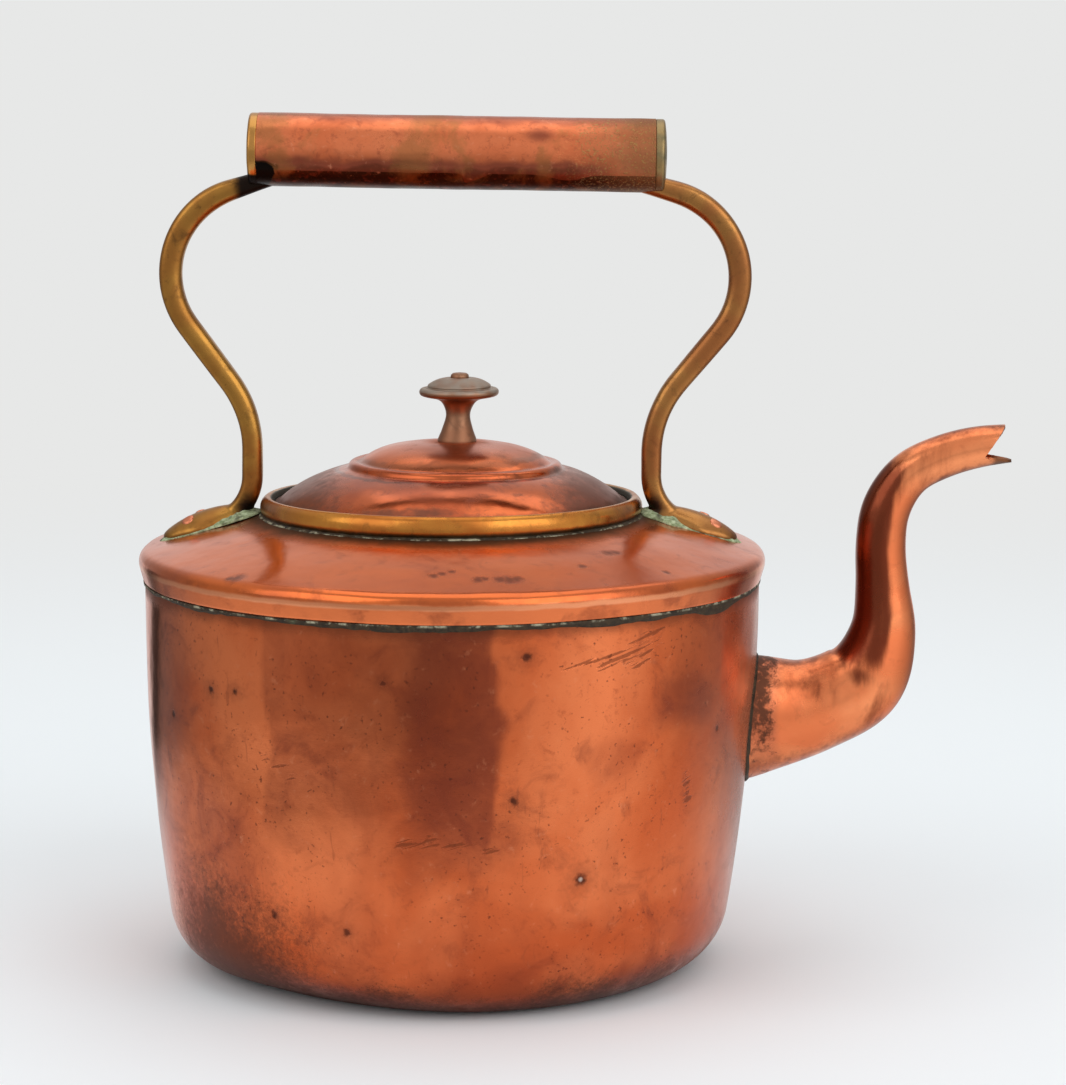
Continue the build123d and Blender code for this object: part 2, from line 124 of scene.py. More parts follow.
def bow(a, b, rise, steps=24):
    """Points from a to b on a curve that stands off the straight line by rise, to its right."""
    a, b = np.array(a, float), np.array(b, float)
    t = np.linspace(0, 1, steps)[:, None]
    along = b - a
    off = np.array([along[1], -along[0]]) / np.hypot(*along)
    return a + along * t + off * rise * 4 * t * (1 - t)


def round_arc(middle, radius, start, end, steps=24):
    """Points on a circle from the angle start to end."""
    t = np.radians(np.linspace(start, end, steps))
    return np.c_[middle[0] + radius * np.cos(t), middle[1] + radius * np.sin(t)]


def circle_through(a, b, c, steps=24):
    """Points on the circle from a through b to c."""
    a, b, c = (np.array(p, float) for p in (a, b, c))
    sides = 2 * np.array([b - a, c - a])
    middle = np.linalg.solve(sides, [b @ b - a @ a, c @ c - a @ a])
    start, through, end = (math.degrees(math.atan2(*(p - middle)[::-1])) for p in (a, b, c))
    while through < start:
        through += 360
    while end < through:
        end += 360
    return round_arc(middle, np.hypot(*(a - middle)), start, end, steps)


def run_of(points):
    """Length of a broken line up to each of its points."""
    return np.r_[0, np.cumsum(np.hypot(*np.diff(points, axis=0).T))]


def headings(points):
    """Direction of a line at each of its points."""
    along = np.gradient(points, axis=0)
    return along / np.hypot(*along.T)[:, None]


def spaced(points, step):
    """A line of points at even spacing along a broken line."""
    points = np.asarray(points, float)
    run = run_of(points)
    keep = np.r_[True, np.diff(run) > 1e-9]
    at = np.linspace(0, run[-1], max(2, round(run[-1] / step) + 1))
    return np.c_[np.interp(at, run[keep], points[keep, 0]), np.interp(at, run[keep], points[keep, 1])]


def softened(points, times):
    """The same line with its corners worn round."""
    points = points.copy()
    for _ in range(times):
        points[1:-1] = points[1:-1] / 2 + (points[:-2] + points[2:]) / 4
    return points


def eased(values, width):
    """Running mean along an evenly spaced line that keeps both ends."""
    half = width // 2
    first = 2 * values[0] - values[half:0:-1]
    last = 2 * values[-1] - values[-2 : -half - 2 : -1]
    padded = np.vstack([first, values, last])
    total = np.cumsum(np.vstack([np.zeros_like(values[:1]), padded]), axis=0)
    return (total[width:] - total[:-width]) / width


def through(stations, count):
    """Smooth values through the stations, evenly spaced along their first two numbers."""
    data = np.array(stations, float)
    run = run_of(data[:, :2])
    slope = np.gradient(data, run, axis=0)
    at = np.linspace(0, run[-1], count)
    k = np.clip(np.searchsorted(run, at) - 1, 0, len(run) - 2)
    h = (run[k + 1] - run[k])[:, None]
    t = ((at - run[k])[:, None]) / h
    return (
        (2 * t**3 - 3 * t**2 + 1) * data[k] + (t**3 - 2 * t**2 + t) * h * slope[k]
        + (3 * t**2 - 2 * t**3) * data[k + 1] + (t**3 - t**2) * h * slope[k + 1]
    )


def shell(outside, thickness):
    """Closed profile of a sheet whose outer face runs up outside."""
    along = headings(outside)
    inside = outside + np.c_[-along[:, 1], along[:, 0]] * thickness
    return np.vstack([outside, inside[::-1]])


def turned(profile, segments):
    """Rows of points from turning a profile round the Z axis."""
    return np.array([circle(full_circle(segments), r, np.full(segments, z)) for r, z in profile])


def wavy(points, size, seed):
    """Smooth uneven numbers from about -1 to 1 for rows of points, with features of a size in mm."""
    flat = points.reshape(-1, 3) / size
    shift = Vector((seed * 7.3, seed * 3.1, seed * 5.7))
    values = [noise.noise(Vector(p) + shift) for p in flat]
    return np.array(values).reshape(points.shape[:-1])


def outward(points, amount):
    """Rows of points moved away from the Z axis by amount."""
    moved = points.copy()
    radius = span(points)
    moved[..., :2] *= ((radius + amount) / np.maximum(radius, 1e-6))[..., None]
    return moved


# ---- Meshes ----


def loops_mesh(bm, rows, closed=False, tips=True):
    """Adds closed loops of points in mm as a tube, with flat ends or joined into a ring."""
    count, width = rows.shape[:2]
    verts = [[bm.verts.new(tuple(p * MM)) for p in row] for row in rows]
    for i in range(count if closed else count - 1):
        k = (i + 1) % count
        for j in range(width):
            n = (j + 1) % width
            bm.faces.new((verts[i][j], verts[i][n], verts[k][n], verts[k][j]))
    if tips:
        bm.faces.new(verts[0][::-1])
        bm.faces.new(verts[-1])


def mesh_of(name, parts, closed=False, tips=True, outside=False):
    """A mesh of several tubes or rings."""
    bm = bmesh.new()
    for rows in parts:
        loops_mesh(bm, rows, closed, tips)
    if outside:
        bmesh.ops.recalc_face_normals(bm, faces=bm.faces)
    mesh = bpy.data.meshes.new(name)
    bm.to_mesh(mesh)
    bm.free()
    return mesh


def finished(name, mesh, body, replaced, corner=35):
    """The mesh as a named piece of the kettle, smooth but for its real corners."""
    bm = bmesh.new()
    bm.from_mesh(mesh)
    bmesh.ops.remove_doubles(bm, verts=bm.verts, dist=1e-6)
    bmesh.ops.dissolve_degenerate(bm, edges=bm.edges, dist=1e-7)
    bmesh.ops.recalc_face_normals(bm, faces=bm.faces)
    bm.to_mesh(mesh)
    bm.free()
    mesh.shade_smooth()
    mesh.set_sharp_from_angle(angle=corner * RAD)
    made = bpy.data.objects.new(name, mesh)
    bpy.context.scene.collection.objects.link(made)
    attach(made, body)
    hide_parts(replaced)
    return made


def piece(name, rows, body, replaced, corner=35, closed=True):
    """A piece from rows of points, each row a closed loop; open ones get flat ends."""
    return finished(name, mesh_of(name, [rows], closed, not closed), body, replaced, corner)


def places(mesh):
    """The mesh's points in mm."""
    return np.array([v.co for v in mesh.vertices]) / MM


def stained(made, values, name="stain"):
    """Keeps a number from 0 to 1 for each point, where a material shows dirt or tarnish."""
    attribute = made.data.attributes.new(name, "FLOAT", "POINT")
    attribute.data.foreach_set("value", np.asarray(values, np.float32))
    return made


def tinned_inside(made, height):
    """Marks the faces that look towards the vessel's middle, which are tinned."""
    normals = np.empty(len(made.data.vertices) * 3)
    made.data.vertex_normals.foreach_get("vector", normals)
    facing = (normals.reshape(-1, 3) * (places(made.data) - [0, 0, height])).sum(axis=1)
    return stained(made, smooth(facing, 0.0, -5.0), "tinned")


def dress(piece_or_node, material):
    """Gives a piece its one material."""
    slots = piece_or_node.data.materials
    slots.clear()
    slots.append(material)


# ---- Materials ----


class Paint:
    """One material's nodes, with its colour, roughness and relief so far. Sizes are in millimetres."""

    def __init__(self, name, metallic=1.0):
        self.material = bpy.data.materials.new(name)
        self.material.use_nodes = True
        self.tree = self.material.node_tree
        self.shader = self.tree.nodes["Principled BSDF"]
        self.shader.inputs["Metallic"].default_value = metallic
        self.place = self.node("TexCoord")["Object"]
        self.relief = None

    def node(self, kind, inputs=(), **settings):
        """Adds a node, feeds its inputs and gives its outputs."""
        made = self.tree.nodes.new("ShaderNode" + kind)
        for key, value in settings.items():
            setattr(made, key, value)
        for key, value in dict(inputs).items():
            self.feed(made.inputs[key], value)
        return made.outputs

    def feed(self, socket, value):
        if isinstance(value, bpy.types.NodeSocket):
            self.tree.links.new(value, socket)
        else:
            socket.default_value = value

    def math(self, kind, a, b=0.0, clamp=False):
        return self.node("Math", {0: a, 1: b}, operation=kind, use_clamp=clamp)[0]

    def times(self, a, b, clamp=False):
        return self.math("MULTIPLY", a, b, clamp)

    def plus(self, a, b, clamp=False):
        return self.math("ADD", a, b, clamp)

    def around_zero(self, value, reach):
        """A noise moved to lie on both sides of zero."""
        return self.times(self.math("SUBTRACT", value, 0.5), reach)

    def xyz(self, place=None):
        return self.node("SeparateXYZ", {0: place or self.place})

    def mapped(self, place, **values):
        return self.node("Mapping", {"Vector": place, **values})[0]

    def noise(self, size, detail=4.0, roughness=0.55, distortion=0.0, place=None, seed=0.0):
        inputs = {"Vector": place or self.place, "W": seed, "Scale": 1 / (size * MM), "Detail": detail}
        inputs |= {"Roughness": roughness, "Distortion": distortion}
        return self.node("TexNoise", inputs, noise_dimensions="4D")["Fac"]

    def between(self, value, low, high, out_low=0.0, out_high=1.0):
        inputs = {"Value": value, "From Min": low, "From Max": high, "To Min": out_low, "To Max": out_high}
        return self.node("MapRange", inputs, interpolation_type="SMOOTHSTEP")["Result"]

    def mix(self, share, *colors):
        first, second = (c if isinstance(c, bpy.types.NodeSocket) else (*c, 1.0) for c in colors)
        return self.node("Mix", {"Factor": share, 6: first, 7: second}, data_type="RGBA")[2]

    def round_place(self, radius):
        """Coordinates that run round the Z axis, out from it and up it, for marks along a turned face."""
        x, y, z = self.xyz()
        along = self.times(self.math("ARCTAN2", y, x), radius * MM)
        out = self.math("POWER", self.plus(self.times(x, x), self.times(y, y)), 0.5)
        return self.node("CombineXYZ", {0: along, 1: out, 2: z})[0]

    def spots(self, places, ragged=0.5, seed=3.0, core=0.55):
        """1 inside each of the round marks (x, y, z, radius), with ragged edges. A small core is soft."""
        wobble = self.around_zero(self.noise(1.6, 3, seed=seed), ragged)
        total = 0.0
        for x, y, z, radius in places:
            ends = {0: self.place, 1: (x * MM, y * MM, z * MM)}
            away = self.node("VectorMath", ends, operation="DISTANCE")["Value"]
            share = self.plus(self.math("DIVIDE", away, radius * MM), wobble)
            total = self.math("MAXIMUM", total, self.between(share, 1.15, core))
        return total

    def attribute(self, name):
        return self.node("Attribute", attribute_name=name)["Fac"]

    def marked(self, name, grain, reach, low, high):
        """A piece's marked places, with edges broken up by a noise."""
        return self.between(self.plus(self.attribute(name), self.around_zero(grain, reach)), low, high)

    def band(self, value, foot, low, high, top):
        """1 from low to high and 0 beyond foot and top."""
        return self.times(self.between(value, foot, low), self.between(value, top, high))

    def tint(self, share, strength, color, rough=None):
        """Lays a colour over the colour so far, and makes it rougher there."""
        self.color = self.mix(self.times(share, strength), self.color, color)
        if rough:
            self.roughen(share, rough)

    def roughen(self, share, amount):
        self.rough = self.plus(self.rough, self.times(share, amount), clamp=True)

    def carve(self, height, depth):
        """Lays relief of a depth in mm over the relief so far."""
        under = {"Normal": self.relief} if self.relief else {}
        self.relief = self.node("Bump", {"Distance": depth * MM, "Strength": 1.0, "Height": height, **under})[0]

    def less_metal(self, share, amount):
        self.feed(self.shader.inputs["Metallic"], self.math("SUBTRACT", 1.0, self.times(share, amount)))

    def tin(self):
        """The old tin lining over the marked faces."""
        tin = self.attribute("tinned")
        cloudy = self.between(self.noise(14, 5, 0.65, 0.6, seed=171), 0.35, 0.68)
        self.color = self.mix(tin, self.color, self.mix(cloudy, TIN, TIN_DARK))
        self.rough = self.math("MAXIMUM", self.rough, self.times(tin, 0.42))

    def done(self):
        for name, value in (("Base Color", self.color), ("Roughness", self.rough), ("Normal", self.relief)):
            self.feed(self.shader.inputs[name], value)
        return self.material


# Relief of handled sheet as (size, detail, roughness, depth, step of the seed)
HANDLED_RELIEF = [(26, 3, 0.5, 0.55, 3), (5.0, 4, 0.6, 0.045, 4), (0.7, 3, 0.7, 0.006, 5)]


def aged_metal(name, tones, seed, cloud=55, blotch=14, soiling=0.5, gloss=(0.2, 0.42)):
    """Handled sheet metal: cloudy oxide, small stains, fine wear. Gives its paint and its blotches."""
    paint = Paint(name)
    clean, warm, dark = tones
    clouds = paint.noise(cloud, 4, 0.5, 0.6, seed=seed)
    blotches = paint.noise(blotch, 6, 0.62, 0.9, seed=seed + 1)
    specks = paint.noise(1.7, 3, 0.6, seed=seed + 2)
    paint.color = paint.mix(paint.between(clouds, 0.36, 0.66), clean, warm)
    stain = paint.between(blotches, 0.52, 0.74)
    paint.tint(stain, soiling, dark)
    paint.tint(paint.between(specks, 0.62, 0.74), 0.55 * soiling, dark)
    paint.rough = paint.between(clouds, 0.3, 0.7, *gloss)
    paint.roughen(stain, 0.18 * soiling)
    for size, detail, roughness, depth, step in HANDLED_RELIEF:
        paint.carve(paint.noise(size, detail, roughness, seed=seed + step), depth)
    return paint, blotches


# Colours as (clean, warm, dark)
SOOT = (0.02, 0.014, 0.012)
COPPER_DARK = (0.20, 0.045, 0.026)
WALL_TONES = ((0.84, 0.222, 0.082), (0.64, 0.122, 0.036), COPPER_DARK)
SHOULDER_TONES = ((0.81, 0.185, 0.048), (0.62, 0.142, 0.048), (0.22, 0.055, 0.030))
LID_TONES = ((0.68, 0.160, 0.055), (0.44, 0.095, 0.036), (0.13, 0.04, 0.028))
SPOUT_TONES = ((0.97, 0.325, 0.135), (0.84, 0.215, 0.08), COPPER_DARK)
GRIP_TONES = ((0.82, 0.235, 0.10), (0.66, 0.165, 0.065), (0.24, 0.06, 0.035))
RIVET_TONES = ((0.80, 0.30, 0.17), (0.62, 0.2, 0.1), (0.2, 0.06, 0.035))
BASE_TONES = ((0.36, 0.11, 0.055), (0.22, 0.065, 0.035), SOOT)
TIN_TONES = ((0.46, 0.45, 0.42), (0.34, 0.32, 0.29), (0.12, 0.10, 0.08))
KNOB_TONES = ((0.38, 0.21, 0.125), (0.32, 0.145, 0.08), (0.10, 0.06, 0.04))
REAR_ARM_TONES = ((0.46, 0.225, 0.048), (0.34, 0.14, 0.032), (0.05, 0.028, 0.014))
FRONT_ARM_TONES = ((0.44, 0.20, 0.058), (0.35, 0.13, 0.042), (0.06, 0.03, 0.018))
REAR_CAP_TONES = ((0.56, 0.28, 0.075), (0.44, 0.2, 0.055), (0.08, 0.05, 0.02))
FRONT_CAP_TONES = ((0.36, 0.24, 0.10), (0.22, 0.19, 0.11), (0.10, 0.11, 0.06))
RING_TONES = ((0.66, 0.27, 0.050), (0.50, 0.165, 0.032), (0.10, 0.055, 0.02))
BRAZING_TONES = ((0.42, 0.22, 0.085), (0.34, 0.13, 0.05), (0.08, 0.045, 0.02))
TIN = (0.36, 0.345, 0.315)
TIN_DARK = (0.17, 0.135, 0.11)
MATT_CRUST = (0.035, 0.027, 0.016)


# ---- The body's faces ----

# Marks on the wall as (angle, height, radius in mm)
WALL_PITS = [
    (-74.5, 119.5, 2.0), (-76.5, 74.0, 1.8), (-123.5, 33.0, 1.7), (-107.8, 30.5, 1.6),
    (-136.2, 103.5, 1.7), (-129.8, 104.5, 1.5), (-99.5, 111.5, 1.3), (-63.0, 46.5, 2.6),
    (-30.0, 88.0, 1.4), (-150.0, 92.0, 1.5), (60.0, 60.0, 1.8), (110.0, 95.0, 2.2), (150.0, 40.0, 1.7),
]
PALE_PIT = (-63.0, 46.5, 1.1)
# Dents as (angle, height, radius, depth)
WALL_DENTS = [
    (-76.5, 74.0, 7.0, 0.5), (-63.0, 46.5, 9.0, 0.7), (-123.5, 33.0, 7.0, 0.5), (-55.8, 84.0, 14.0, 0.9),
    (-120.0, 80.0, 18.0, 0.9), (-45.0, 52.0, 15.0, 0.8), (-97.0, 40.0, 16.0, -0.5), (-140.0, 55.0, 16.0, 0.8),
    (40.0, 55.0, 18.0, 1.1), (85.0, 90.0, 20.0, 0.9), (130.0, 50.0, 15.0, 1.2), (165.0, 100.0, 14.0, 0.8),
]
# The heel is knocked up at the front left
KNOCK_ANGLE = -124
KNOCK_IN = 0.9
KNOCK_UP = 2.6


def wall_radius(height):
    """Radius of the wall's outer face at a height above its heel."""
    taper = WALL_TOP - WALL_FOOT
    chord = math.hypot(taper, WALL_HEIGHT)
    bend = (chord**2 / 4 + WALL_BULGE**2) / (2 * WALL_BULGE)
    middle_radius = (WALL_FOOT + WALL_TOP) / 2 + (WALL_BULGE - bend) * WALL_HEIGHT / chord
    middle_height = WALL_HEIGHT / 2 - (WALL_BULGE - bend) * taper / chord
    return middle_radius + np.sqrt(bend**2 - (height - middle_height) ** 2)


def body_radius(height):
    """Radius of the body's outer face at any height, heel included."""
    if height >= HEEL * (1 - math.sin(HEEL_SLOPE * RAD)):
        return wall_radius(height)
    return HEEL_MIDDLE + math.sqrt(max(HEEL**2 - (HEEL - height) ** 2, 0))


def cone_height(radius):
    """Height of the shoulder's outer face."""
    return CORNER_HEIGHT + (LIP_RADIUS - radius) * CONE_SLOPE


def on_wall(angle, height):
    radius = body_radius(height)
    return (radius * math.cos(angle * RAD), radius * math.sin(angle * RAD), height)


def on_cone(angle, radius):
    return (radius * math.cos(angle * RAD), radius * math.sin(angle * RAD), cone_height(radius))


def leaning(points):
    """The body stands a little askew: its lip lies towards the spout and its foot away from it."""
    moved = points.copy()
    shift = np.interp(points[..., 2], [0, 60, 138], [-0.8, 0.1, 0.9])
    moved[..., 0] += shift * smooth(span(points), 62, 90)
    return moved


def settled(points):
    """The neck has sunk a little and stands off the middle."""
    moved = points.copy()
    share = smooth(span(points), 88, 68)
    moved[..., 0] += NECK_SHIFT * share
    moved[..., 2] -= NECK_DROP * share
    return moved


def dented(points, marks):
    depth = np.zeros(points.shape[:-1])
    for angle, height, radius, amount in marks:
        across = np.radians(turned_from(bearing(points), angle)) * wall_radius(height)
        depth += amount * mound(np.hypot(across, points[..., 2] - height), 0, radius)
    return outward(points, -depth)


# ---- Wall ----


def make_body():
    heel = round_arc((HEEL_MIDDLE, HEEL), HEEL, -90, -HEEL_SLOPE, 30)
    heights = np.linspace(heel[-1, 1], WALL_HEIGHT, 40)[1:]
    wall = np.c_[wall_radius(heights), heights]
    outside = spaced(np.vstack([[(WALL_START, 0)], heel, wall]), (WALL_HEIGHT + 50) / WALL_STEPS[1])
    rows = turned(shell(outside, SHEET), WALL_STEPS[0])
    uneven = 0.55 * wavy(rows, 70, 1) + 0.22 * wavy(rows, 24, 2)
    free = smooth(rows[..., 2], 1.5, 14) * (0.35 + 0.65 * smooth(rows[..., 2], 131, 118))
    rows = leaning(dented(outward(rows, uneven * free), WALL_DENTS))
    knocked = mound(bearing(rows), KNOCK_ANGLE, 27) * smooth(rows[..., 2], 30, 4) * smooth(span(rows), 68, 80)
    rows = outward(rows, -KNOCK_IN * knocked)
    rows[..., 2] += KNOCK_UP * knocked
    body = piece("kettle_wall", rows, "kettle", "body_wall")
    cut_spout_hole(body.data)
    tinned_inside(body, 60)
    co = places(body.data)
    stained(body, wall_soot(co), "soot")
    stained(body, wall_strokes(co), "strokes")
    away = np.hypot(1.8 * bearing(co), 0.75 * (co[:, 2] - 78)) + 9 * wavy(co, 22, 19)
    stained(body, smooth(away, 82, 16), "dull")
    return stained(body, wall_stain_and_reflection(co))


def cut_spout_hole(mesh):
    """Opens the wall where the spout leads out of it."""
    half_width, half_height = (n * MM for n in SPOUT_HOLE)
    middle = SPOUT_HEIGHT * MM
    bm = bmesh.new()
    bm.from_mesh(mesh)

    def share(co):
        return math.hypot(co.y / half_width, (co.z - middle) / half_height)

    gone = [f for f in bm.faces if f.calc_center_median().x > 0 and share(f.calc_center_median()) < 1]
    bmesh.ops.delete(bm, geom=gone, context="FACES")
    rim = [e for e in bm.edges if e.is_boundary]
    for v in {v for e in rim for v in e.verts}:
        s = share(v.co)
        v.co.y /= s
        v.co.z = middle + (v.co.z - middle) / s
    bmesh.ops.bridge_loops(bm, edges=rim)
    bm.to_mesh(mesh)
    bm.free()


# Tarnished patches of the wall as (amount, angle, height, half angle, half height, softness)
WALL_PATCHES = [
    (0.66, -39.5, 100, 9.5, 12, 0.5), (0.45, -55.8, 84, 7, 10, 0.6), (0.5, -88, 62, 16, 16, 0.6),
    (0.6, -138, 52, 17, 30, 0.7), (0.5, -150, 100, 9, 34, 0.7), (0.4, -104, 92, 9, 22, 0.8),
    (0.35, -112, 108, 9, 18, 0.7), (0.5, -8, 70, 13, 44, 0.6), (0.35, -24, 96, 7, 30, 0.7),
    (0.6, 55, 80, 20, 26, 0.6), (0.65, 120, 60, 24, 30, 0.6),
]


def wall_stain_and_reflection(co):
    """How dark the wall is painted at each of its points, with a painted reflection of dark surroundings as a
    broad dark zone at the front.
    """
    z = co[:, 2]
    uneven = wavy(co, 22, 5) + 0.5 * wavy(co, 9, 6)
    turn = bearing(co) + 3 * uneven
    low = z + 9 * uneven
    stains = [
        # Painted reflection: the broad dark zone at the front stands for dark surroundings mirrored in the
        # metal
        0.82 * smooth(turn, -105, -92) * smooth(turn, -77.6, -80.5) * smooth(low, 30, 74),
        0.5 * smooth(turn, -125.5, -123.5) * smooth(turn, -92, -99) * smooth(low, 45, 70),
        0.85 * smooth(low, 36, -4),
        # The whole lower half is a little browner
        0.3 * smooth(z + 5 * uneven, 70, 20),
    ]
    for amount, angle, height, half_angle, half_height, soft in WALL_PATCHES:
        away = np.hypot(turned_from(turn, angle) / half_angle, (z + 3 * uneven - height) / half_height)
        stains.append(amount * smooth(away, 1 + soft, 1 - soft))
    return np.maximum.reduce(stains)


def wall_soot(co):
    """Fine dark soot round the foot of the wall, most of it at the front left."""
    z = co[:, 2] + 6 * (wavy(co, 16, 7) + 0.6 * wavy(co, 6, 8))
    left = mound(bearing(co), -140, 26) * (0.85 * smooth(z, 60, 14) + 0.25 * smooth(z, 85, 50))
    back = mound(bearing(co), 110, 50) * 0.8 * smooth(z, 62, 12)
    return np.maximum.reduce([0.95 * smooth(z, 20, 2), left, back])


# Patches of fine scratches on the wall as (angle, height) of both ends and half width in mm
WALL_STROKES = [
    (-67.5, 115.0, -57.0, 118.5, 1.2), (-60.0, 115.8, -48.0, 123.0, 2.6), (-56.0, 113.6, -50.5, 116.5, 1.4),
    (-39.5, 75.0, -38.2, 66.0, 2.2), (-92.0, 62.0, -80.0, 58.5, 1.2), (-97.0, 60.0, -86.0, 61.5, 1.0),
    (-124.0, 84.0, -116.0, 79.0, 1.2),
]


def wall_strokes(co):
    """How near each point lies to a patch of scratches."""
    total = np.zeros(len(co))
    for a1, z1, a2, z2, half in WALL_STROKES:
        scale = RAD * wall_radius((z1 + z2) / 2)
        p = np.c_[(bearing(co) - a1) * scale, co[:, 2] - z1]
        d = np.array([(a2 - a1) * scale, z2 - z1])
        t = np.clip(p @ d / (d @ d), 0, 1)
        away = np.hypot(*(p - t[:, None] * d).T)
        total = np.maximum(total, smooth(away, half * 1.5, half * 0.2))
    return total


def make_wall_seam():
    """The brazed seam up the back of the wall: a lumpy strip that stands a little proud."""
    height = np.linspace(1.0, 129.0, 260)
    across = np.linspace(-1, 1, 15)
    line = np.c_[0 * height, 0 * height, height]
    wide = 1.5 + 0.35 * wavy(line, 9, 15) + 0.3 * wavy(line, 3, 16)
    lift = 0.32 + 0.15 * wavy(line, 6, 17)
    drift = 0.5 * wavy(line, 40, 18)
    reach = np.array([body_radius(h) for h in height])
    rows = []
    for t in across:
        rise = lift * (1 - t * t) ** 0.7 - 0.12 * abs(t) ** 4
        rows.append(np.c_[drift + wide * t, reach + rise, height])
    rows += [np.c_[drift + wide * t * 0.9, reach - 0.9, height] for t in across[::-1]]
    rows = leaning(np.array(rows).transpose(1, 0, 2))
    return piece("wall_seam_brazed", rows, "kettle", "wall_seam", 50, closed=False)


def body_material():
    paint, blotches = aged_metal("aged_copper_wall", WALL_TONES, 11, 60, 13, 0.42, (0.10, 0.20))
    wall_tarnish_and_reflection(paint, blotches)
    pits = wall_pits(paint)
    wall_scratches(paint)
    paint.carve(pits, -0.08)
    wall_skin_and_lip_shade(paint)
    paint.tin()
    return paint.done()


def wall_tarnish_and_reflection(paint, blotches):
    """The dark stains with the painted reflection of a dark zone at the front, small stains of every size, and
    the soot on the foot.
    """
    # The stain mark holds tarnish and the painted reflection of dark surroundings at the front
    broken = paint.marked("stain", blotches, 0.7, 0.05, 1.0)
    paint.tint(broken, 0.92, (0.25, 0.05, 0.026), rough=0.0736)
    mottle = paint.noise(4.0, 5, 0.7, 0.5, seed=31)
    paint.tint(paint.between(mottle, 0.56, 0.72), 0.45, (0.36, 0.075, 0.03))
    paint.tint(paint.between(mottle, 0.42, 0.26), 0.35, (0.88, 0.33, 0.17))
    specks = paint.between(paint.noise(1.5, 3, 0.6, seed=33), 0.60, 0.68)
    specks = paint.times(specks, paint.between(paint.noise(18, 3, seed=34), 0.42, 0.56))
    paint.tint(specks, 0.7, (0.11, 0.028, 0.018))
    soot = paint.marked("soot", paint.noise(1.8, 5, 0.75, seed=35), 1.5, 0.25, 1.05)
    paint.tint(soot, 0.8, (0.085, 0.034, 0.022), rough=0.25)


def wall_pits(paint):
    halo = paint.spots([(*on_wall(a, h), 3.0 * r) for a, h, r in WALL_PITS], 1.2, 9.0, 0.1)
    paint.tint(halo, 0.4, (0.24, 0.06, 0.03))
    pits = paint.spots([(*on_wall(a, h), r) for a, h, r in WALL_PITS], 1.4, 3.0, 0.3)
    paint.tint(pits, 0.85, (0.035, 0.014, 0.012), rough=0.25)
    angle, height, radius = PALE_PIT
    paint.tint(paint.spots([(*on_wall(angle, height), radius)], 0.5, 8.0), 1.0, (0.62, 0.5, 0.42))
    return pits


def wall_scratches(paint):
    """Fine scratches that run round the body, a few across them, and the scratched patches."""
    round_body = paint.round_place(98)
    fine = paint.noise(0.9, 4, 0.7, place=paint.mapped(round_body, Scale=(0.05, 1, 1)), seed=2)
    cross = paint.noise(2.2, 3, 0.6, 0.3, place=paint.mapped(round_body, Scale=(1, 1, 0.12)), seed=5)
    paint.tint(paint.between(cross, 0.64, 0.73), 0.4, (0.30, 0.075, 0.035))
    slant = paint.mapped(paint.mapped(round_body, Rotation=(0, 16 * RAD, 0)), Scale=(0.07, 1, 1))
    streaks = paint.noise(0.9, 3, 0.6, 0.15, place=slant, seed=6)
    near = paint.attribute("strokes")
    strokes = paint.between(paint.plus(streaks, paint.times(near, 0.18)), 0.62, 0.68)
    strokes = paint.times(strokes, paint.between(near, 0.05, 0.3))
    paint.tint(strokes, 0.65, (0.20, 0.05, 0.022), rough=0.2)
    tone = paint.noise(26, 3, 0.5, 0.3, place=paint.mapped(round_body, Scale=(1, 1, 0.35)), seed=7)
    paint.tint(paint.between(tone, 0.5, 0.72), 0.35, (0.42, 0.085, 0.032))
    paint.carve(fine, 0.008)
    paint.carve(strokes, -0.06)


def wall_skin_and_lip_shade(paint):
    """A dull brown skin round the spout, and painted shade just under the solder of the lip."""
    ragged = paint.around_zero(paint.noise(7, 5, 0.65, 0.4, seed=42), 1.2)
    dull = paint.times(paint.attribute("dull"), paint.plus(1.0, ragged), clamp=True)
    paint.tint(dull, 0.85, (0.29, 0.088, 0.044), rough=0.12)
    paint.less_metal(dull, 0.8)
    up = paint.plus(paint.xyz()[2], paint.around_zero(paint.noise(8, 4, 0.6, seed=41), 0.004))
    # Painted shade: a dark band on the wall just under the lip's solder
    under = paint.between(up, 0.1235, 0.1285)
    paint.tint(under, 0.65, (0.07, 0.028, 0.016), rough=0.25)


# ---- Shoulder ----

# Bruises as (angle, radius, size)
SHOULDER_MARKS = [
    (-130.0, 99.2, 2.2), (-131.2, 99.8, 1.5), (-78.2, 92.6, 1.6), (-76.4, 93.2, 2.0), (-75.0, 92.9, 1.7),
    (-82.4, 92.4, 1.5), (-81.2, 91.9, 1.1), (-49.0, 80.0, 1.7), (-47.2, 80.4, 1.5), (-59.5, 87.2, 1.2),
    (-91.0, 89.4, 1.2), (-89.4, 87.9, 1.0), (-87.4, 86.4, 0.9), (-43.2, 97.0, 1.0), (20.0, 92.0, 2.0),
    (95.0, 86.0, 2.4), (160.0, 95.0, 1.8),
]


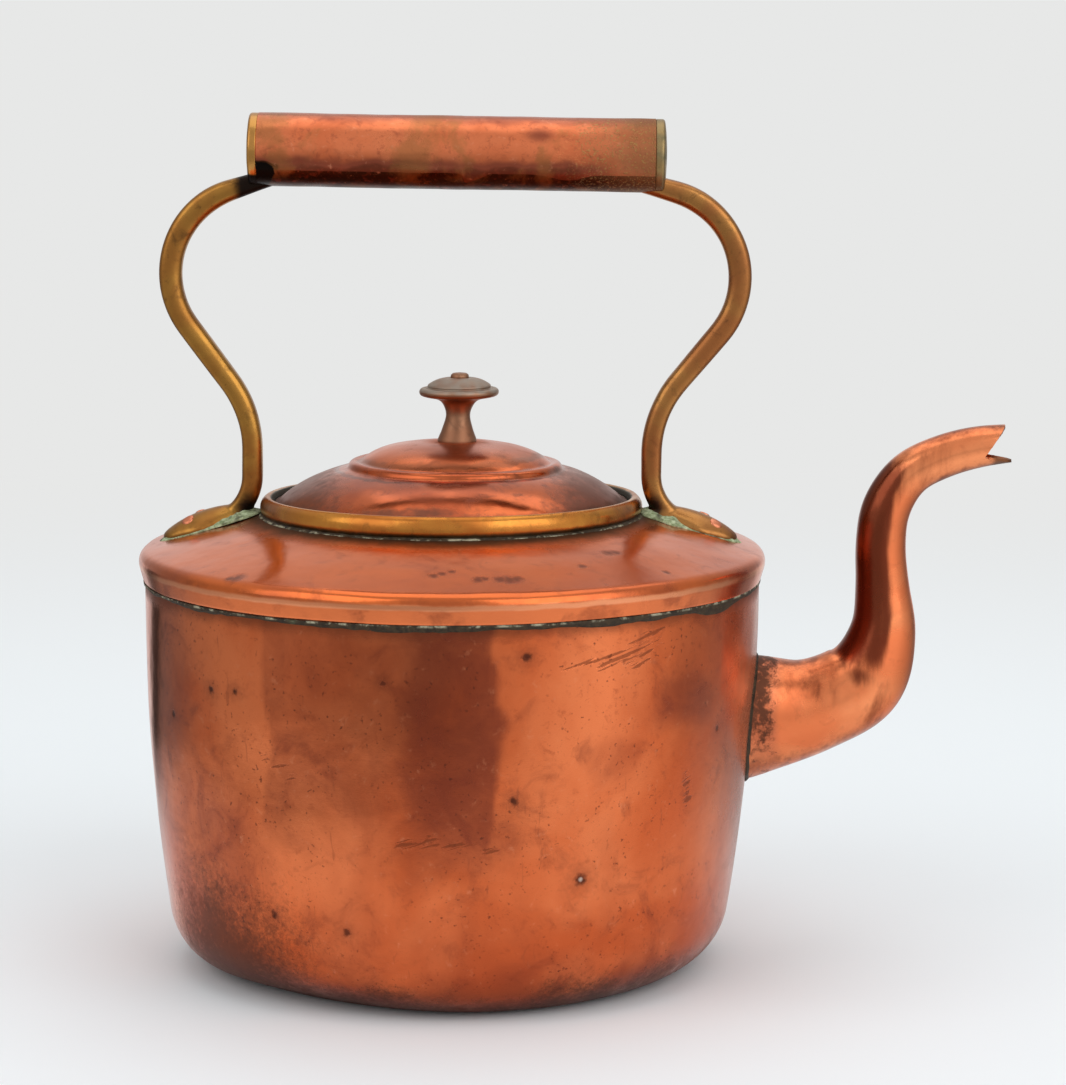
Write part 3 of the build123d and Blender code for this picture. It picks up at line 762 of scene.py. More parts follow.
def make_shoulder():
    lean = math.degrees(math.atan(CONE_SLOPE))
    reach = CORNER_ROUND * math.tan((90 - lean) / 2 * RAD)
    middle = (LIP_RADIUS - CORNER_ROUND, CORNER_HEIGHT - reach)
    corner = round_arc(middle, CORNER_ROUND, 4, 90 - lean, 30)
    band = [(LIP_FOOT - 0.3, LIP_BOTTOM), (LIP_FOOT, LIP_BOTTOM + 0.3), LIP_CREASE, corner[0]]
    slope = spaced(np.vstack([corner, [(NECK, cone_height(NECK))]]), 0.85)
    outside = softened(np.vstack([spaced(band, 0.4), slope[1:]]), 1)
    rows = turned(shell(outside, SHEET), 384)
    free = smooth(span(rows), 66, 80)
    rows[..., 2] += (0.3 * wavy(rows, 45, 11) + 0.12 * wavy(rows, 16, 12)) * free
    rows = settled(leaning(outward(rows, 0.18 * wavy(rows, 30, 13) * free)))
    # The lip sits a little higher on its left
    rows[..., 2] -= 0.0035 * rows[..., 0] * smooth(span(rows), 80, 98)
    return tinned_inside(piece("kettle_shoulder", rows, "kettle", "shoulder"), 100)


def shoulder_material():
    paint, _ = aged_metal("aged_copper_shoulder", SHOULDER_TONES, 31, 42, 10, 0.4, (0.14, 0.26))
    marks = paint.spots([(*on_cone(a, r), 1.8 * size) for a, r, size in SHOULDER_MARKS], 0.9, 4.0, 0.1)
    paint.tint(marks, 0.72, (0.10, 0.035, 0.026), rough=0.2)
    paint.carve(marks, -0.05)
    # Dull halo round the neck ring
    out = paint.xyz(paint.round_place(80))[1]
    ragged = paint.plus(out, paint.times(paint.noise(7, 4, 0.6, seed=9), 0.006))
    halo = paint.between(ragged, 0.0755, 0.0675)
    paint.tint(halo, 0.9, (0.05, 0.038, 0.022), rough=0.36)
    lip_band(paint)
    paint.tin()
    return paint.done()


def lip_band(paint):
    """Brighter orange and tarnished metal on the lip's band, a painted highlight along its crease and painted
    shade just above it.
    """
    up = paint.plus(paint.xyz()[2], paint.around_zero(paint.noise(9, 4, seed=12), 0.0012))
    paint.tint(paint.between(up, 0.1358, 0.1350), 0.75, (0.86, 0.225, 0.082))
    tarnish = paint.between(paint.noise(22, 5, 0.6, 0.4, seed=44), 0.50, 0.62)
    tarnish = paint.times(tarnish, paint.between(up, 0.1362, 0.1350))
    paint.tint(tarnish, 0.55, (0.30, 0.065, 0.030))
    # Painted highlight: a bright line along the lip's crease
    worn = paint.band(up, 0.1340, 0.1348, 0.1355, 0.1366)
    paint.tint(worn, 0.8, (0.95, 0.38, 0.19))
    # Painted shade: a broken dark line just above the crease
    broken = paint.between(paint.noise(24, 4, 0.7, seed=6), 0.46, 0.62)
    crease = paint.times(paint.band(up, 0.1358, 0.1366, 0.1370, 0.1384), broken)
    paint.tint(crease, 0.4, (0.26, 0.06, 0.026))


# ---- Lid ----

# Stained places on the lid as (angle, radius, half width along and across in mm, amount)
LID_DIRT = [
    (-110.0, 54.5, 15, 2.0, 0.9), (-95.0, 54.0, 10, 2.2, 1.0), (-78.0, 55.2, 12, 1.2, 0.7),
    (-35.0, 48.0, 11, 5, 0.75), (-60.0, 47.0, 3, 1.6, 0.7), (-45.0, 26.0, 5, 5, 0.7),
    (-100.0, 27.5, 9, 2.0, 0.6), (-90.0, 39.5, 16, 1.8, 0.55), (160.0, 44.0, 18, 7, 0.6),
    (100.0, 45.0, 22, 8, 0.6), (-165.0, 46.0, 14, 8, 0.7), (0.0, 50.0, 20, 6, 0.7), (60.0, 22.0, 9, 5, 0.5),
]
# Pale places in the same layout: film, and at the front right a painted reflection of pale surroundings on the
# dome and bead
LID_FILM_AND_SHEEN = [
    (-28.0, 27.5, 9, 3.5, 0.9), (-50.0, 33.5, 14, 1.4, 0.9), (-20.0, 38.0, 10, 3, 0.8),
    (-60.0, 37.5, 12, 1.0, 0.6), (30.0, 28.0, 9, 4, 0.7), (150.0, 34.0, 12, 3, 0.6),
]


def lid_profile():
    dome = bow((LID_RADIUS - 0.9, LID_RIM), BEAD_FOOT, 1.8, 30)
    bead = circle_through(BEAD_FOOT, BEAD_CREST, GROOVE)
    t = np.linspace(1, 0, 30)
    fall = (CROWN - GROOVE[1]) * (0.5 * t**2 + 0.5 * t**6)
    crown = np.c_[GROOVE[0] * t, CROWN - fall]
    line = np.vstack([[(LID_RADIUS, LID_RIM - 0.25)], [(LID_RADIUS - 0.3, LID_RIM)], dome, bead, crown])
    return softened(spaced(line, 0.5), 3)


def make_lid():
    rows = turned(shell(lid_profile(), LID_SHEET), 256)
    radius = span(rows)
    uneven = 0.35 * wavy(rows, 30, 21) + 0.12 * wavy(rows, 11, 22)
    rows[..., 2] += uneven * smooth(radius, 57.5, 50) * smooth(radius, 6, 14)
    rows[..., 2] -= LID_TILT * rows[..., 0] * smooth(radius, 52, 34) * smooth(radius, 8, 26)
    rows[..., 0] += 0.4 + 1.4 * smooth(radius, 52, 38)
    made = piece("lid_cover", rows, "lid", "lid_dome", 50)
    return lid_stain_shade_and_sheen(made)


def lid_stain_shade_and_sheen(made):
    """Dark dirt and pale film on the lid in patches, painted shade on the dome's left and right sides, and a
    painted reflection in the pale patches at the front right.
    """
    co = places(made.data)

    def patches(marks):
        total = np.zeros(len(co))
        for angle, out, along, across, amount in marks:
            round_lid = np.radians(turned_from(bearing(co), angle)) * out
            total = np.maximum(total, amount * mound(round_lid, 0, along) * mound(span(co), out, across))
        return total

    # Painted shade: the dome darker towards its left and right sides
    sides = smooth(abs(co[:, 0]), 20, 48) * smooth(span(co), 34, 40)
    stained(made, np.maximum(patches(LID_DIRT), sides))
    stained(made, patches(LID_FILM_AND_SHEEN), "pale")
    return tinned_inside(made, 80)


def lid_material():
    paint, _ = aged_metal("aged_copper_lid", LID_TONES, 51, 26, 8, 0.6, (0.12, 0.26))
    out = paint.xyz(paint.round_place(40))[1]
    edge = paint.plus(out, paint.around_zero(paint.noise(9, 4, 0.6, seed=7), 0.006))
    rim = paint.between(edge, 0.0545, 0.0575)
    paint.tint(rim, 0.8, (0.05, 0.028, 0.022), rough=0.24)
    groove = paint.band(edge, 0.0272, 0.0290, 0.0300, 0.0312)
    paint.tint(groove, 0.6, (0.06, 0.03, 0.022))
    foot = paint.band(edge, 0.0362, 0.0374, 0.0380, 0.0392)
    paint.tint(foot, 0.5, (0.07, 0.03, 0.022))
    # Painted shade round the knob's foot, also made a little rougher
    knob_foot_shade = paint.spots([(KNOB_OUT, 0, CROWN, 11.0)], 0.3, 12.0, 0.4)
    paint.tint(knob_foot_shade, 0.25, (0.20, 0.09, 0.055), rough=0.3)
    grain = paint.noise(3.5, 5, 0.7, 0.3, seed=57)
    dirt = paint.marked("stain", grain, 1.3, 0.2, 1.0)
    paint.tint(dirt, 0.75, (0.13, 0.062, 0.042), rough=0.2)
    # Pale patches: film, and at the front right a painted reflection
    film = paint.marked("pale", grain, 1.3, 0.35, 1.0)
    paint.tint(film, 0.6, (0.36, 0.27, 0.24), rough=0.2)
    # Painted highlight: the crown inside the bead is painted a brighter orange
    paint.tint(paint.between(out, 0.034, 0.028), 0.25, (0.95, 0.26, 0.08), rough=0.07)
    paint.tin()
    return paint.done()


# ---- Solder ----

# Drips of the solder under the lip as (angle, half width, extra depth in mm)
SOLDER_DRIPS = [
    (-32.5, 6, 2.4), (-60.5, 3.5, 0.9), (-49.0, 2.5, 0.4), (-140.0, 6, 0.5), (-97.0, 12, 0.7),
    (70.0, 8, 1.6), (130.0, 5, 1.2), (170.0, 9, 1.0),
]
COLLAR_SIZE = (17.0, 20.4)    # half width and half height of the spout's root


def make_lip_solder():
    """The lumpy fillet of solder that closes the joint under the lip."""
    angle = full_circle(720)
    ring = circle(angle, WALL_TOP, 0 * angle)
    left = smooth(ring[:, 0], 10, -80) * smooth(ring[:, 1], 60, 0)
    low = 1.75 - 0.6 * left + 0.35 * wavy(ring, 16, 31) + 0.35 * wavy(ring, 4, 32)
    for middle, half, extra in SOLDER_DRIPS:
        low += extra * mound(turned_from(np.degrees(angle), middle), 0, half)
    low = np.clip(low, 0.8, 4.4)
    rows = []
    for i, t in enumerate(np.linspace(0, 1, 10)):
        z = LIP_BOTTOM - low * (1 - t)
        bulge = 0.1 + 0.5 * t**1.6 + 0.25 * math.sin(math.pi * t)
        rough = 0.18 * wavy(np.c_[ring[:, :2], z], 3.0, 33 + i) * math.sin(math.pi * min(1, t + 0.15))
        rows.append(circle(angle, wall_radius(z) + bulge + rough, z))
    for z in (np.full(len(angle), LIP_BOTTOM), LIP_BOTTOM - low):
        rows.append(circle(angle, wall_radius(z) - 0.6, z))
    made = piece("lip_solder_line", leaning(np.array(rows)), "kettle", "lip_solder", 70)
    return stained(made, smooth(places(made.data)[:, 2], LIP_BOTTOM - 0.85, LIP_BOTTOM - 0.35), "pale")


def make_ring_solder():
    """Thin uneven line of solder round the foot of the neck ring."""
    angle = full_circle(540)
    ring = circle(angle, RING_RADIUS, 0 * angle)
    size = np.clip(0.75 + 0.3 * wavy(ring, 7, 73) + 0.25 * wavy(ring, 2.2, 74), 0.25, 2)
    rows = []
    for t in np.linspace(0, 1, 8):
        radius = RING_RADIUS - 0.6 + 1.7 * size * t
        rows.append(circle(angle, radius, cone_height(radius) + size * 0.9 * (1 - t) ** 1.2 - 0.05))
    rows = np.array(rows)
    rows[..., 2] += 0.1 * wavy(rows, 1.8, 75)
    base = rows[[-1, 0]] - np.array([(0, 0, 0.5), (0, 0, 1.5)])[:, None]
    made = piece("ring_solder_line", settled(np.vstack([rows, base])), "kettle", "ring_solder", 80)
    out = span(places(made.data) - [NECK_SHIFT, 0, 0]) - RING_RADIUS
    return stained(made, smooth(out, -0.1, 0.15) * smooth(out, 0.75, 0.45), "pale")


def make_collar():
    """Rough collar of solder where the spout meets the wall."""
    angle = full_circle(300)
    half_width, half_height = COLLAR_SIZE
    loop = np.c_[np.cos(angle) * half_width, np.sin(angle) * half_height, 0 * angle]
    wide = np.clip(1.3 + 0.6 * wavy(loop, 7, 81) + 0.4 * wavy(loop, 2.5, 82), 0.5, 3)
    rows = []
    for t in np.linspace(0, 1, 9):
        reach = -0.9 + (wide + 0.9) * t
        y = np.cos(angle) * (half_width + reach)
        z = SPOUT_HEIGHT + np.sin(angle) * (half_height + reach)
        lift = 0.9 * (1 - t) ** 0.8 + 0.35 * math.sin(math.pi * t)
        rows.append(np.c_[np.sqrt(wall_radius(z) ** 2 - y**2) + lift, y, z])
    rows = np.array(rows)
    rows[..., 0] += 0.22 * wavy(rows, 2.4, 83)
    back = rows[[-1, 0]] - np.array([(1.0, 0, 0), (3.2, 0, 0)])[:, None]
    rows = leaning(np.vstack([rows, back]))
    return piece("spout_solder_collar", rows, "kettle", "spout_collar", 80)


def solder_material():
    paint = Paint("dull_solder", 0.5)
    grain = paint.noise(2.0, 6, 0.65, 0.4, seed=1)
    paint.color = paint.mix(paint.between(grain, 0.35, 0.65), (0.024, 0.015, 0.008), (0.070, 0.046, 0.024))
    patch = paint.noise(7.0, 4, 0.6, 0.5, seed=2)
    paint.tint(paint.between(patch, 0.6, 0.74), 0.5, (0.10, 0.11, 0.055))
    bead = paint.between(paint.noise(5.0, 6, 0.7, seed=4), 0.47, 0.60)
    paint.tint(paint.times(paint.attribute("pale"), bead), 0.85, (0.50, 0.47, 0.33))
    paint.rough = paint.between(grain, 0.3, 0.7, 0.45, 0.8)
    paint.carve(grain, 0.25)
    paint.carve(paint.noise(0.8, 3, 0.6, seed=6), 0.05)
    return paint.done()


def verdigris_material():
    paint = Paint("verdigris_solder", 0.15)
    grain = paint.noise(1.6, 5, 0.65, 0.3, seed=21)
    paint.color = paint.mix(paint.between(grain, 0.35, 0.65), (0.19, 0.25, 0.11), (0.52, 0.60, 0.38))
    patch = paint.noise(5.0, 4, 0.6, 0.5, seed=22)
    paint.tint(paint.between(patch, 0.44, 0.62), 0.85, (0.06, 0.05, 0.026))
    paint.rough = 0.7
    paint.carve(grain, 0.2)
    return paint.done()


# ---- Brass ----


def brass_material(name, tones, seed, soiling, gloss=(0.22, 0.42), stain=None, matt=False):
    """Old brass, with a colour for its stained points and a dull crust where it is marked matt."""
    paint, blotches = aged_metal(name, tones, seed, 16, 5, soiling, gloss)
    if stain:
        paint.tint(paint.marked("stain", blotches, 0.6, 0.15, 0.85), 1.0, stain, rough=0.15)
    if matt:
        crust = paint.attribute("matt")
        paint.tint(crust, 1.0, MATT_CRUST)
        paint.rough = paint.math("MAXIMUM", paint.rough, paint.times(crust, 0.85))
        paint.less_metal(crust, 1.0)
    paint.carve(paint.noise(2.2, 4, 0.6, seed=seed + 9), 0.04)
    return paint.done()


# ---- Handle arms ----

FOOT_LEVEL = 145.7703         # height of the shoulder under the middle of a foot
FOOT_RADIUS = 81.0
FOOT_CIRCLES = [(-12.5, 4.4), (2.5, 8.0), (8.6, 6.3)]
FOOT_HEIGHT = 5.6
FOOT_CREST = -3.0
FOOT_BOW = 78.0
FOOT_CAMBER = 11.0
FOOT_RIM = 0.4                # thickness of a foot's edge
FOOT_RIVETS = {1: [(6.4, -3.3), (2.2, 3.3)], -1: [(4.9, -3.3), (0.9, 3.3)]}
RIVET_HEAD = ((1.9, -0.9), (1.95, 0.1), (1.75, 0.36), (1.4, 0.5), (0.8, 0.6), (0.03, 0.62))
HANDLE_LEAN = 0.9
HANDLE_SHIFT = 0.75
GRIP_HEIGHT = 123.9
GRIP_HALF = 65.0
GRIP_RADIUS = 12.0
# Corners of an arm's middle line, out from the middle of its foot and above the feet, for each side:
# 1 is the arm by the spout, -1 the one behind
ARM_CORNERS = {
    1: [(34.3, 100.0), (-15.4, 38.5), (-15.1, 4.9), (0.0, 0.33)],
    -1: [(31.4, 98.0), (-14.3, 38.1), (-14.5, 4.9), (0.0, 0.33)],
}
ARM_ROUNDS = [29.0, 38.0, 17.0]
ARM_ROOT = (58.5, 115.8)
ARM_SIZE = (8.4, 6.7)
ARM_THIN = {1: 1.0, -1: 0.88}  # how slight the upper end is
ARM_SKIN = 0.55               # voxel that arm and foot are joined at


def unit(v):
    return v / np.linalg.norm(v)


def bent_line(corners, rounds, step):
    """Evenly spaced points along straight runs with rounded bends."""
    corners = [np.array(c, float) for c in corners]
    points = [corners[0]]
    for before, corner, after, radius in zip(corners, corners[1:], corners[2:], rounds):
        a, b = unit(before - corner), unit(after - corner)
        half = math.acos(float(np.clip(a @ b, -1, 1))) / 2
        reach = radius / math.tan(half)
        middle = corner + unit(a + b) * radius / math.sin(half)
        start, end = corner + a * reach - middle, corner + b * reach - middle
        turn = math.acos(float(np.clip(start @ end / radius**2, -1, 1)))
        for t in np.linspace(0, 1, 24):
            off = start * math.sin((1 - t) * turn) + end * math.sin(t * turn)
            points.append(middle + off / math.sin(turn))
    return spaced(np.array([*points, corners[-1]]), step)


def leaned(side, out, up):
    """A point of the handle's side view, bent over by its lean."""
    lean = math.tan(HANDLE_LEAN * RAD)
    return (HANDLE_SHIFT + side * out + up * lean, FOOT_LEVEL + up - side * out * lean * up / GRIP_HEIGHT)


def squarish(count, half_width, half_depth, power):
    """Loop of points of a bar's section with soft edges."""
    c, s = np.cos(full_circle(count)), np.sin(full_circle(count))
    wide, deep = (np.sign(n) * abs(n) ** (2 / power) for n in (c, s))
    return np.c_[half_width * wide, half_depth * deep]


def foot_edge(count):
    """Outline of a foot round its middle, as loop points (out, across): the hull of its circles."""
    t = full_circle(72)
    circles = [radius * np.c_[np.cos(t), np.sin(t)] + [out, 0] for out, radius in FOOT_CIRCLES]
    cloud = np.vstack(circles).tolist()
    hull = []
    for sign in (1, -1):
        chain = []
        for p in sorted(cloud, key=lambda q: (sign * q[0], sign * q[1])):
            while len(chain) > 1:
                (ax, ay), (bx, by) = chain[-2:]
                if (bx - ax) * (p[1] - ay) > (by - ay) * (p[0] - ax):
                    break
                chain.pop()
            chain.append(p)
        hull += chain[:-1]
    line = spaced(hull + hull[:1], 0.4)[:-1]
    return line[np.linspace(0, len(line), count, endpoint=False).astype(int)]


def foot_top(out, across):
    """Height of the foot's rounded top over the shoulder, at places inside its outline."""
    edge = foot_edge(96)
    around = np.arctan2(edge[:, 1], edge[:, 0])
    order = np.argsort(around)
    reach = np.interp(np.arctan2(across, out), around[order], np.hypot(*edge.T)[order], period=TURN)
    share = np.clip(np.hypot(out, across) / reach, 0, 1)
    fall = FOOT_BOW - np.sqrt(FOOT_BOW**2 - (out - FOOT_CREST) ** 2)
    rise = np.sqrt((FOOT_CAMBER - fall) ** 2 - across**2) - (FOOT_CAMBER - FOOT_HEIGHT)
    return FOOT_RIM + (rise - FOOT_RIM) * (1 - share**2) ** 0.3


def on_foot(side, out, across, up):
    """Point of a foot: out from its middle, across it and up off the shoulder."""
    lean = math.atan(CONE_SLOPE)
    x = FOOT_RADIUS + out * math.cos(lean) + up * math.sin(lean)
    z = FOOT_LEVEL - out * math.sin(lean) + up * math.cos(lean)
    return np.stack([side * x, across, z], axis=-1)


def foot_rows(side):
    """A leaf-shaped foot as loops from its underside over its edge to its top."""
    edge = foot_edge(96)
    rows = [on_foot(side, *(edge * share).T, np.full(len(edge), -0.5)) for share in (0.02, 0.5, 1.0)]
    for t in np.linspace(0.0, 1.55, 26):
        out, across = (edge * math.cos(t)).T
        rows.append(on_foot(side, out, across, foot_top(out, across)))
    return np.array(rows)


def make_rivets():
    """Flattened heads of the rivets that hold the feet."""
    angle = full_circle(40)
    parts = []
    for side, heads in FOOT_RIVETS.items():
        for i, (out, across) in enumerate(heads):
            rows = []
            for radius, lift in RIVET_HEAD:
                wide = radius * (1 + 0.08 * np.cos(2 * angle + i) + 0.04 * np.cos(3 * angle + side))
                o, a = out + wide * np.cos(angle), across + wide * np.sin(angle)
                rows.append(on_foot(side, o, a, foot_top(o, a) + lift))
            parts.append(np.array(rows))
    mesh = mesh_of("foot_rivet_heads", parts)
    return finished("foot_rivet_heads", mesh, "kettle", "handle_rivets", 60)


def foot_solder_rows(side):
    """A bead of solder round one foot, thick by the ankle and at the tip."""
    edge = foot_edge(160)
    along = np.roll(edge, -1, axis=0) - np.roll(edge, 1, axis=0)
    normal = np.c_[along[:, 1], -along[:, 0]] / np.hypot(*along.T)[:, None]
    normal *= np.sign((normal * edge).sum(axis=1))[:, None]
    place = np.c_[edge, np.full(len(edge), 40.0 * side)]
    uneven = 1 + 0.35 * wavy(place, 3.5, 86) + 0.2 * wavy(place, 1.4, 87)
    thick = 0.35 + 1.9 * smooth(edge[:, 0], 1, -9) + 0.9 * smooth(edge[:, 0], 10.5, 14)
    size = np.clip(thick * uneven, 0.2, 4)
    steps = []
    for t in np.linspace(0, 1, 7):
        steps.append((-1.2 + (1.2 + 1.25 * size) * t, 0.95 * size * (1 - t) ** 1.1 + 0.05))
    steps += [(reach, np.full(len(edge), -0.5)) for reach in (1.25 * size, -1.2 + 0 * size)]
    rows = np.array([on_foot(side, *(edge + normal * reach[:, None]).T, lift) for reach, lift in steps])
    rows[1:-2] += 0.12 * wavy(rows[1:-2], 1.6, 88)[..., None]
    return rows


def make_foot_solder():
    mesh = mesh_of("foot_solder_bed", [foot_solder_rows(1), foot_solder_rows(-1)], closed=True, tips=False)
    return finished("foot_solder_bed", mesh, "kettle", "foot_solder", 80)


def arm_rows(side):
    """The bent bar of an arm as loops along its middle line."""
    corners = [ARM_ROOT] + [(FOOT_RADIUS + out, up) for out, up in ARM_CORNERS[side]]
    line = bent_line([leaned(side, *c) for c in corners], ARM_ROUNDS, 0.8)
    thin = ARM_THIN[side]
    rows = []
    for (x, z), (tx, tz), t in zip(line, headings(line), np.linspace(0, 1, len(line))):
        uneven = 1 + 0.035 * noise.noise(Vector((x, z, side * 40)) / 17)
        fuller = 1 + 0.13 * smooth(t, 0.0, 0.15) * smooth(t, 0.75, 0.5)
        depth = ARM_SIZE[1] / 2 * uneven * fuller * (thin + (1 - thin) * smooth(t, 0.02, 0.2))
        across, off = squarish(40, ARM_SIZE[0] / 2 * (2 - uneven), depth, 3.4).T
        # The bar is a little narrower on its inner side, so an edge catches the light
        across = across * (1 - 0.12 * smooth(-off, 0.0, depth))
        rows.append(np.c_[x - side * tz * off, across, z + side * tx * off])
    return np.array(rows)


def grown_together(name, parts, voxel):
    """One skin round several overlapping closed parts, with soft inner corners."""
    work = bpy.data.objects.new(name + "_work", mesh_of(name, parts, outside=True))
    bpy.context.scene.collection.objects.link(work)
    remesh = work.modifiers.new("skin", "REMESH")
    remesh.mode = "VOXEL"
    remesh.voxel_size = voxel * MM
    relax = work.modifiers.new("relax", "SMOOTH")
    relax.factor = 0.5
    relax.iterations = 4
    mesh = bpy.data.meshes.new_from_object(work.evaluated_get(bpy.context.evaluated_depsgraph_get()))
    bpy.data.objects.remove(work)
    mesh.name = name
    return mesh


def make_arm(name, side, replaced):
    mesh = grown_together(name, [arm_rows(side), foot_rows(side)], ARM_SKIN)
    made = finished(name, mesh, "kettle", replaced, 80)
    x, _, z = places(made.data).T
    ankle = mound(abs(x), FOOT_RADIUS - 14, 5) * mound(z, FOOT_LEVEL + 7, 6)
    grime = np.maximum(0.5 * smooth(z, 148, 142), 0.9 * ankle)
    if side < 0:
        grime = np.maximum(grime, smooth(x, -74, -66) * smooth(z, 250, 256))
    return stained(made, np.clip(grime, 0, 1))


# ---- Spout ----

# Stations of the middle line as (out, up) from the wall at the spout's height, half height, half width
SPOUT_STATIONS = [
    (-6.0, -0.4, 21.4, 17.6), (0.7, 0.6, 20.4, 17.0), (21.7, 4.2, 15.7, 14.6), (37.2, 12.7, 14.5, 13.2),
    (43.7, 29.0, 10.9, 10.5), (43.4, 45.0, 8.8, 8.8), (42.7, 58.0, 8.3, 8.3), (44.0, 69.5, 8.1, 8.1),
    (51.7, 81.9, 7.5, 7.5), (62.9, 87.7, 7.2, 7.2), (74.0, 90.8, 6.9, 7.0), (87.5, 92.4, 6.2, 6.6),
]
SPOUT_STEPS = 900             # along the middle line
SPOUT_AROUND = 96
SPOUT_LOOPS = 190
SPOUT_SHEET = 1.0
BEAK_NOTCH = np.array((75.9, 87.8))
BEAK_UPPER = np.array((82.2, 97.2))
BEAK_LOWER = np.array((85.6, 85.8))


def side_of(tip, p):
    """Which side of the line from the beak's notch to a tip the places p lie on."""
    edge = tip - BEAK_NOTCH
    q = p - BEAK_NOTCH
    return edge[0] * q[..., 1] - edge[1] * q[..., 0]


def spout_skin(line, inset):
    """Loops of points round the middle line."""
    angle, direction = full_circle(SPOUT_AROUND), headings(line[:, :2])
    up = np.sin(angle) * (line[:, 2:3] - inset)
    x = line[:, :1] - direction[:, 1:] * up
    z = line[:, 1:2] + direction[:, :1] * up
    return np.stack([x, np.cos(angle) * (line[:, 3:] - inset), z], axis=-1)


def spout_ends(outer):
    """Where each line along the tube comes out of the wall, and where the mouth's cut ends it."""
    near = outer[:80]
    reach = np.hypot(wall_radius(SPOUT_HEIGHT) + near[..., 0], near[..., 1])
    wall = wall_radius(np.clip(SPOUT_HEIGHT + near[..., 2], 0, WALL_HEIGHT))
    flat = outer[..., [0, 2]]
    cut = (side_of(BEAK_UPPER, flat) < 0) & (side_of(BEAK_LOWER, flat) > 0) & (flat[..., 0] > BEAK_NOTCH[0])
    last = np.where(cut.any(axis=0), cut.argmax(axis=0), len(outer) - 1)
    return (reach > wall - 0.6).argmax(axis=0), last


def make_spout():
    """The swan-neck tube. Its mouth is cut to a V that is open to the front."""
    line = eased(through(SPOUT_STATIONS, SPOUT_STEPS), 41)
    outer, inner = spout_skin(line, 0.0), spout_skin(line, SPOUT_SHEET)
    first, last = spout_ends(outer)
    column = np.arange(SPOUT_AROUND)
    rows = []
    for surface, order in ((outer, (0, 1)), (inner, (1, 0))):
        for t in np.linspace(*order, SPOUT_LOOPS):
            pick = first + (last - first) * t
            low = np.floor(pick).astype(int)
            high = np.minimum(low + 1, SPOUT_STEPS - 1)
            share = (pick - low)[:, None]
            rows.append(surface[low, column] * (1 - share) + surface[high, column] * share)
    rows = np.array(rows) + [wall_radius(SPOUT_HEIGHT), 0, SPOUT_HEIGHT]
    bend = smooth(rows[..., 0], 104, 116)
    rows[..., 1] *= 1 + 0.03 * (0.3 * wavy(rows, 26, 41) + 0.12 * wavy(rows, 10, 42)) * bend
    rows[..., 0] += 0.35 * wavy(rows * [1, 0.2, 1], 30, 43) * bend
    return spout_stain(piece("kettle_spout", rows, "kettle", "spout_tube", 45))


def spout_stain(made):
    """Marks the dull side of the neck, the dirt round the root and the dark mouth."""
    co = places(made.data)
    x, y, z = co.T
    uneven = wavy(co, 12, 45) + 0.5 * wavy(co, 5, 46)
    # The kettle's side of the upright neck, and the middle of the two lower bends
    edge = np.interp(z, [92, 100, 118, 140, 158, 168, 176], [139.5, 144.5, 147.0, 145.6, 147.5, 153.0, 160])
    inner = smooth(x + 0.5 * uneven, edge + 1.5, edge - 2.2)
    elbow = np.interp(x, [100, 121.7, 137.2, 143.7], [82.6, 86.2, 94.7, 111])
    beak = np.interp(x, [150, 152, 163, 174, 188], [161, 164, 169.7, 172.8, 174.4])
    stained(made, np.maximum.reduce([
        inner * smooth(z + 2 * uneven, 94, 106) * smooth(z + x * 0.35, 230, 212) * smooth(x, 124, 132),
        0.8 * mound(x, 136, 5) * mound(z, 98, 4) * (y < 0),
        0.45 * smooth(z, 84, 94) * smooth(x, 134, 126) * smooth(x, 104, 112),
        0.35 * smooth(z + 2 * uneven, 72, 60),
        0.55 * smooth(abs(z - elbow) / 15, 0.6, 1.05) * smooth(x, 150, 142),
        0.6 * smooth(abs(z - beak) / 7, 0.35, 1.0) * smooth(x, 154, 162),
        0.38 * smooth(z, 150, 160) * smooth(x + 3 * uneven, 182, 158),
        0.8 * inner * smooth(y, -2, 6) * smooth(z, 98, 108),
    ]))
    stained(made, smooth(x + 2.5 * uneven, 112.5, 104.5) * (0.45 + 0.4 * smooth(z, 66, 90)), "root")
    return stained(made, smooth(x + 1.5 * uneven, 174, 183) * (0.5 + 0.5 * smooth(z, 174, 169)), "mouth")


def spout_material():
    paint, _ = aged_metal("aged_copper_spout", SPOUT_TONES, 121, 30, 8, 0.25, (0.17, 0.30))
    streaks = paint.noise(3.2, 5, 0.65, place=paint.mapped(paint.place, Scale=(1, 1, 0.09)), seed=123)
    paint.tint(paint.marked("stain", streaks, 1.1, 0.15, 0.95), 0.92, (0.15, 0.028, 0.014))
    grain = paint.noise(2.4, 6, 0.75, 0.3, seed=124)
    paint.tint(paint.between(paint.attribute("root"), 0.1, 0.6), 0.5, (0.50, 0.15, 0.08))
    root = paint.marked("root", grain, 1.9, 0.45, 0.85)
    paint.tint(root, 0.85, (0.075, 0.038, 0.026), rough=0.3)
    mouth = paint.marked("mouth", grain, 1.0, 0.35, 0.9)
    paint.tint(mouth, 0.8, (0.12, 0.06, 0.03), rough=0.2)
    paint.carve(paint.noise(2.2, 4, 0.6, seed=130), 0.015)
    paint.carve(root, 0.06)
    return paint.done()


# ---- Grip ----

GRIP_PLACE = (2.7, 269.67)
GRIP_SHEET = 1.0
SEAM_ANGLE = 30.0             # below the tube's front
SEAM_STEP = 0.5


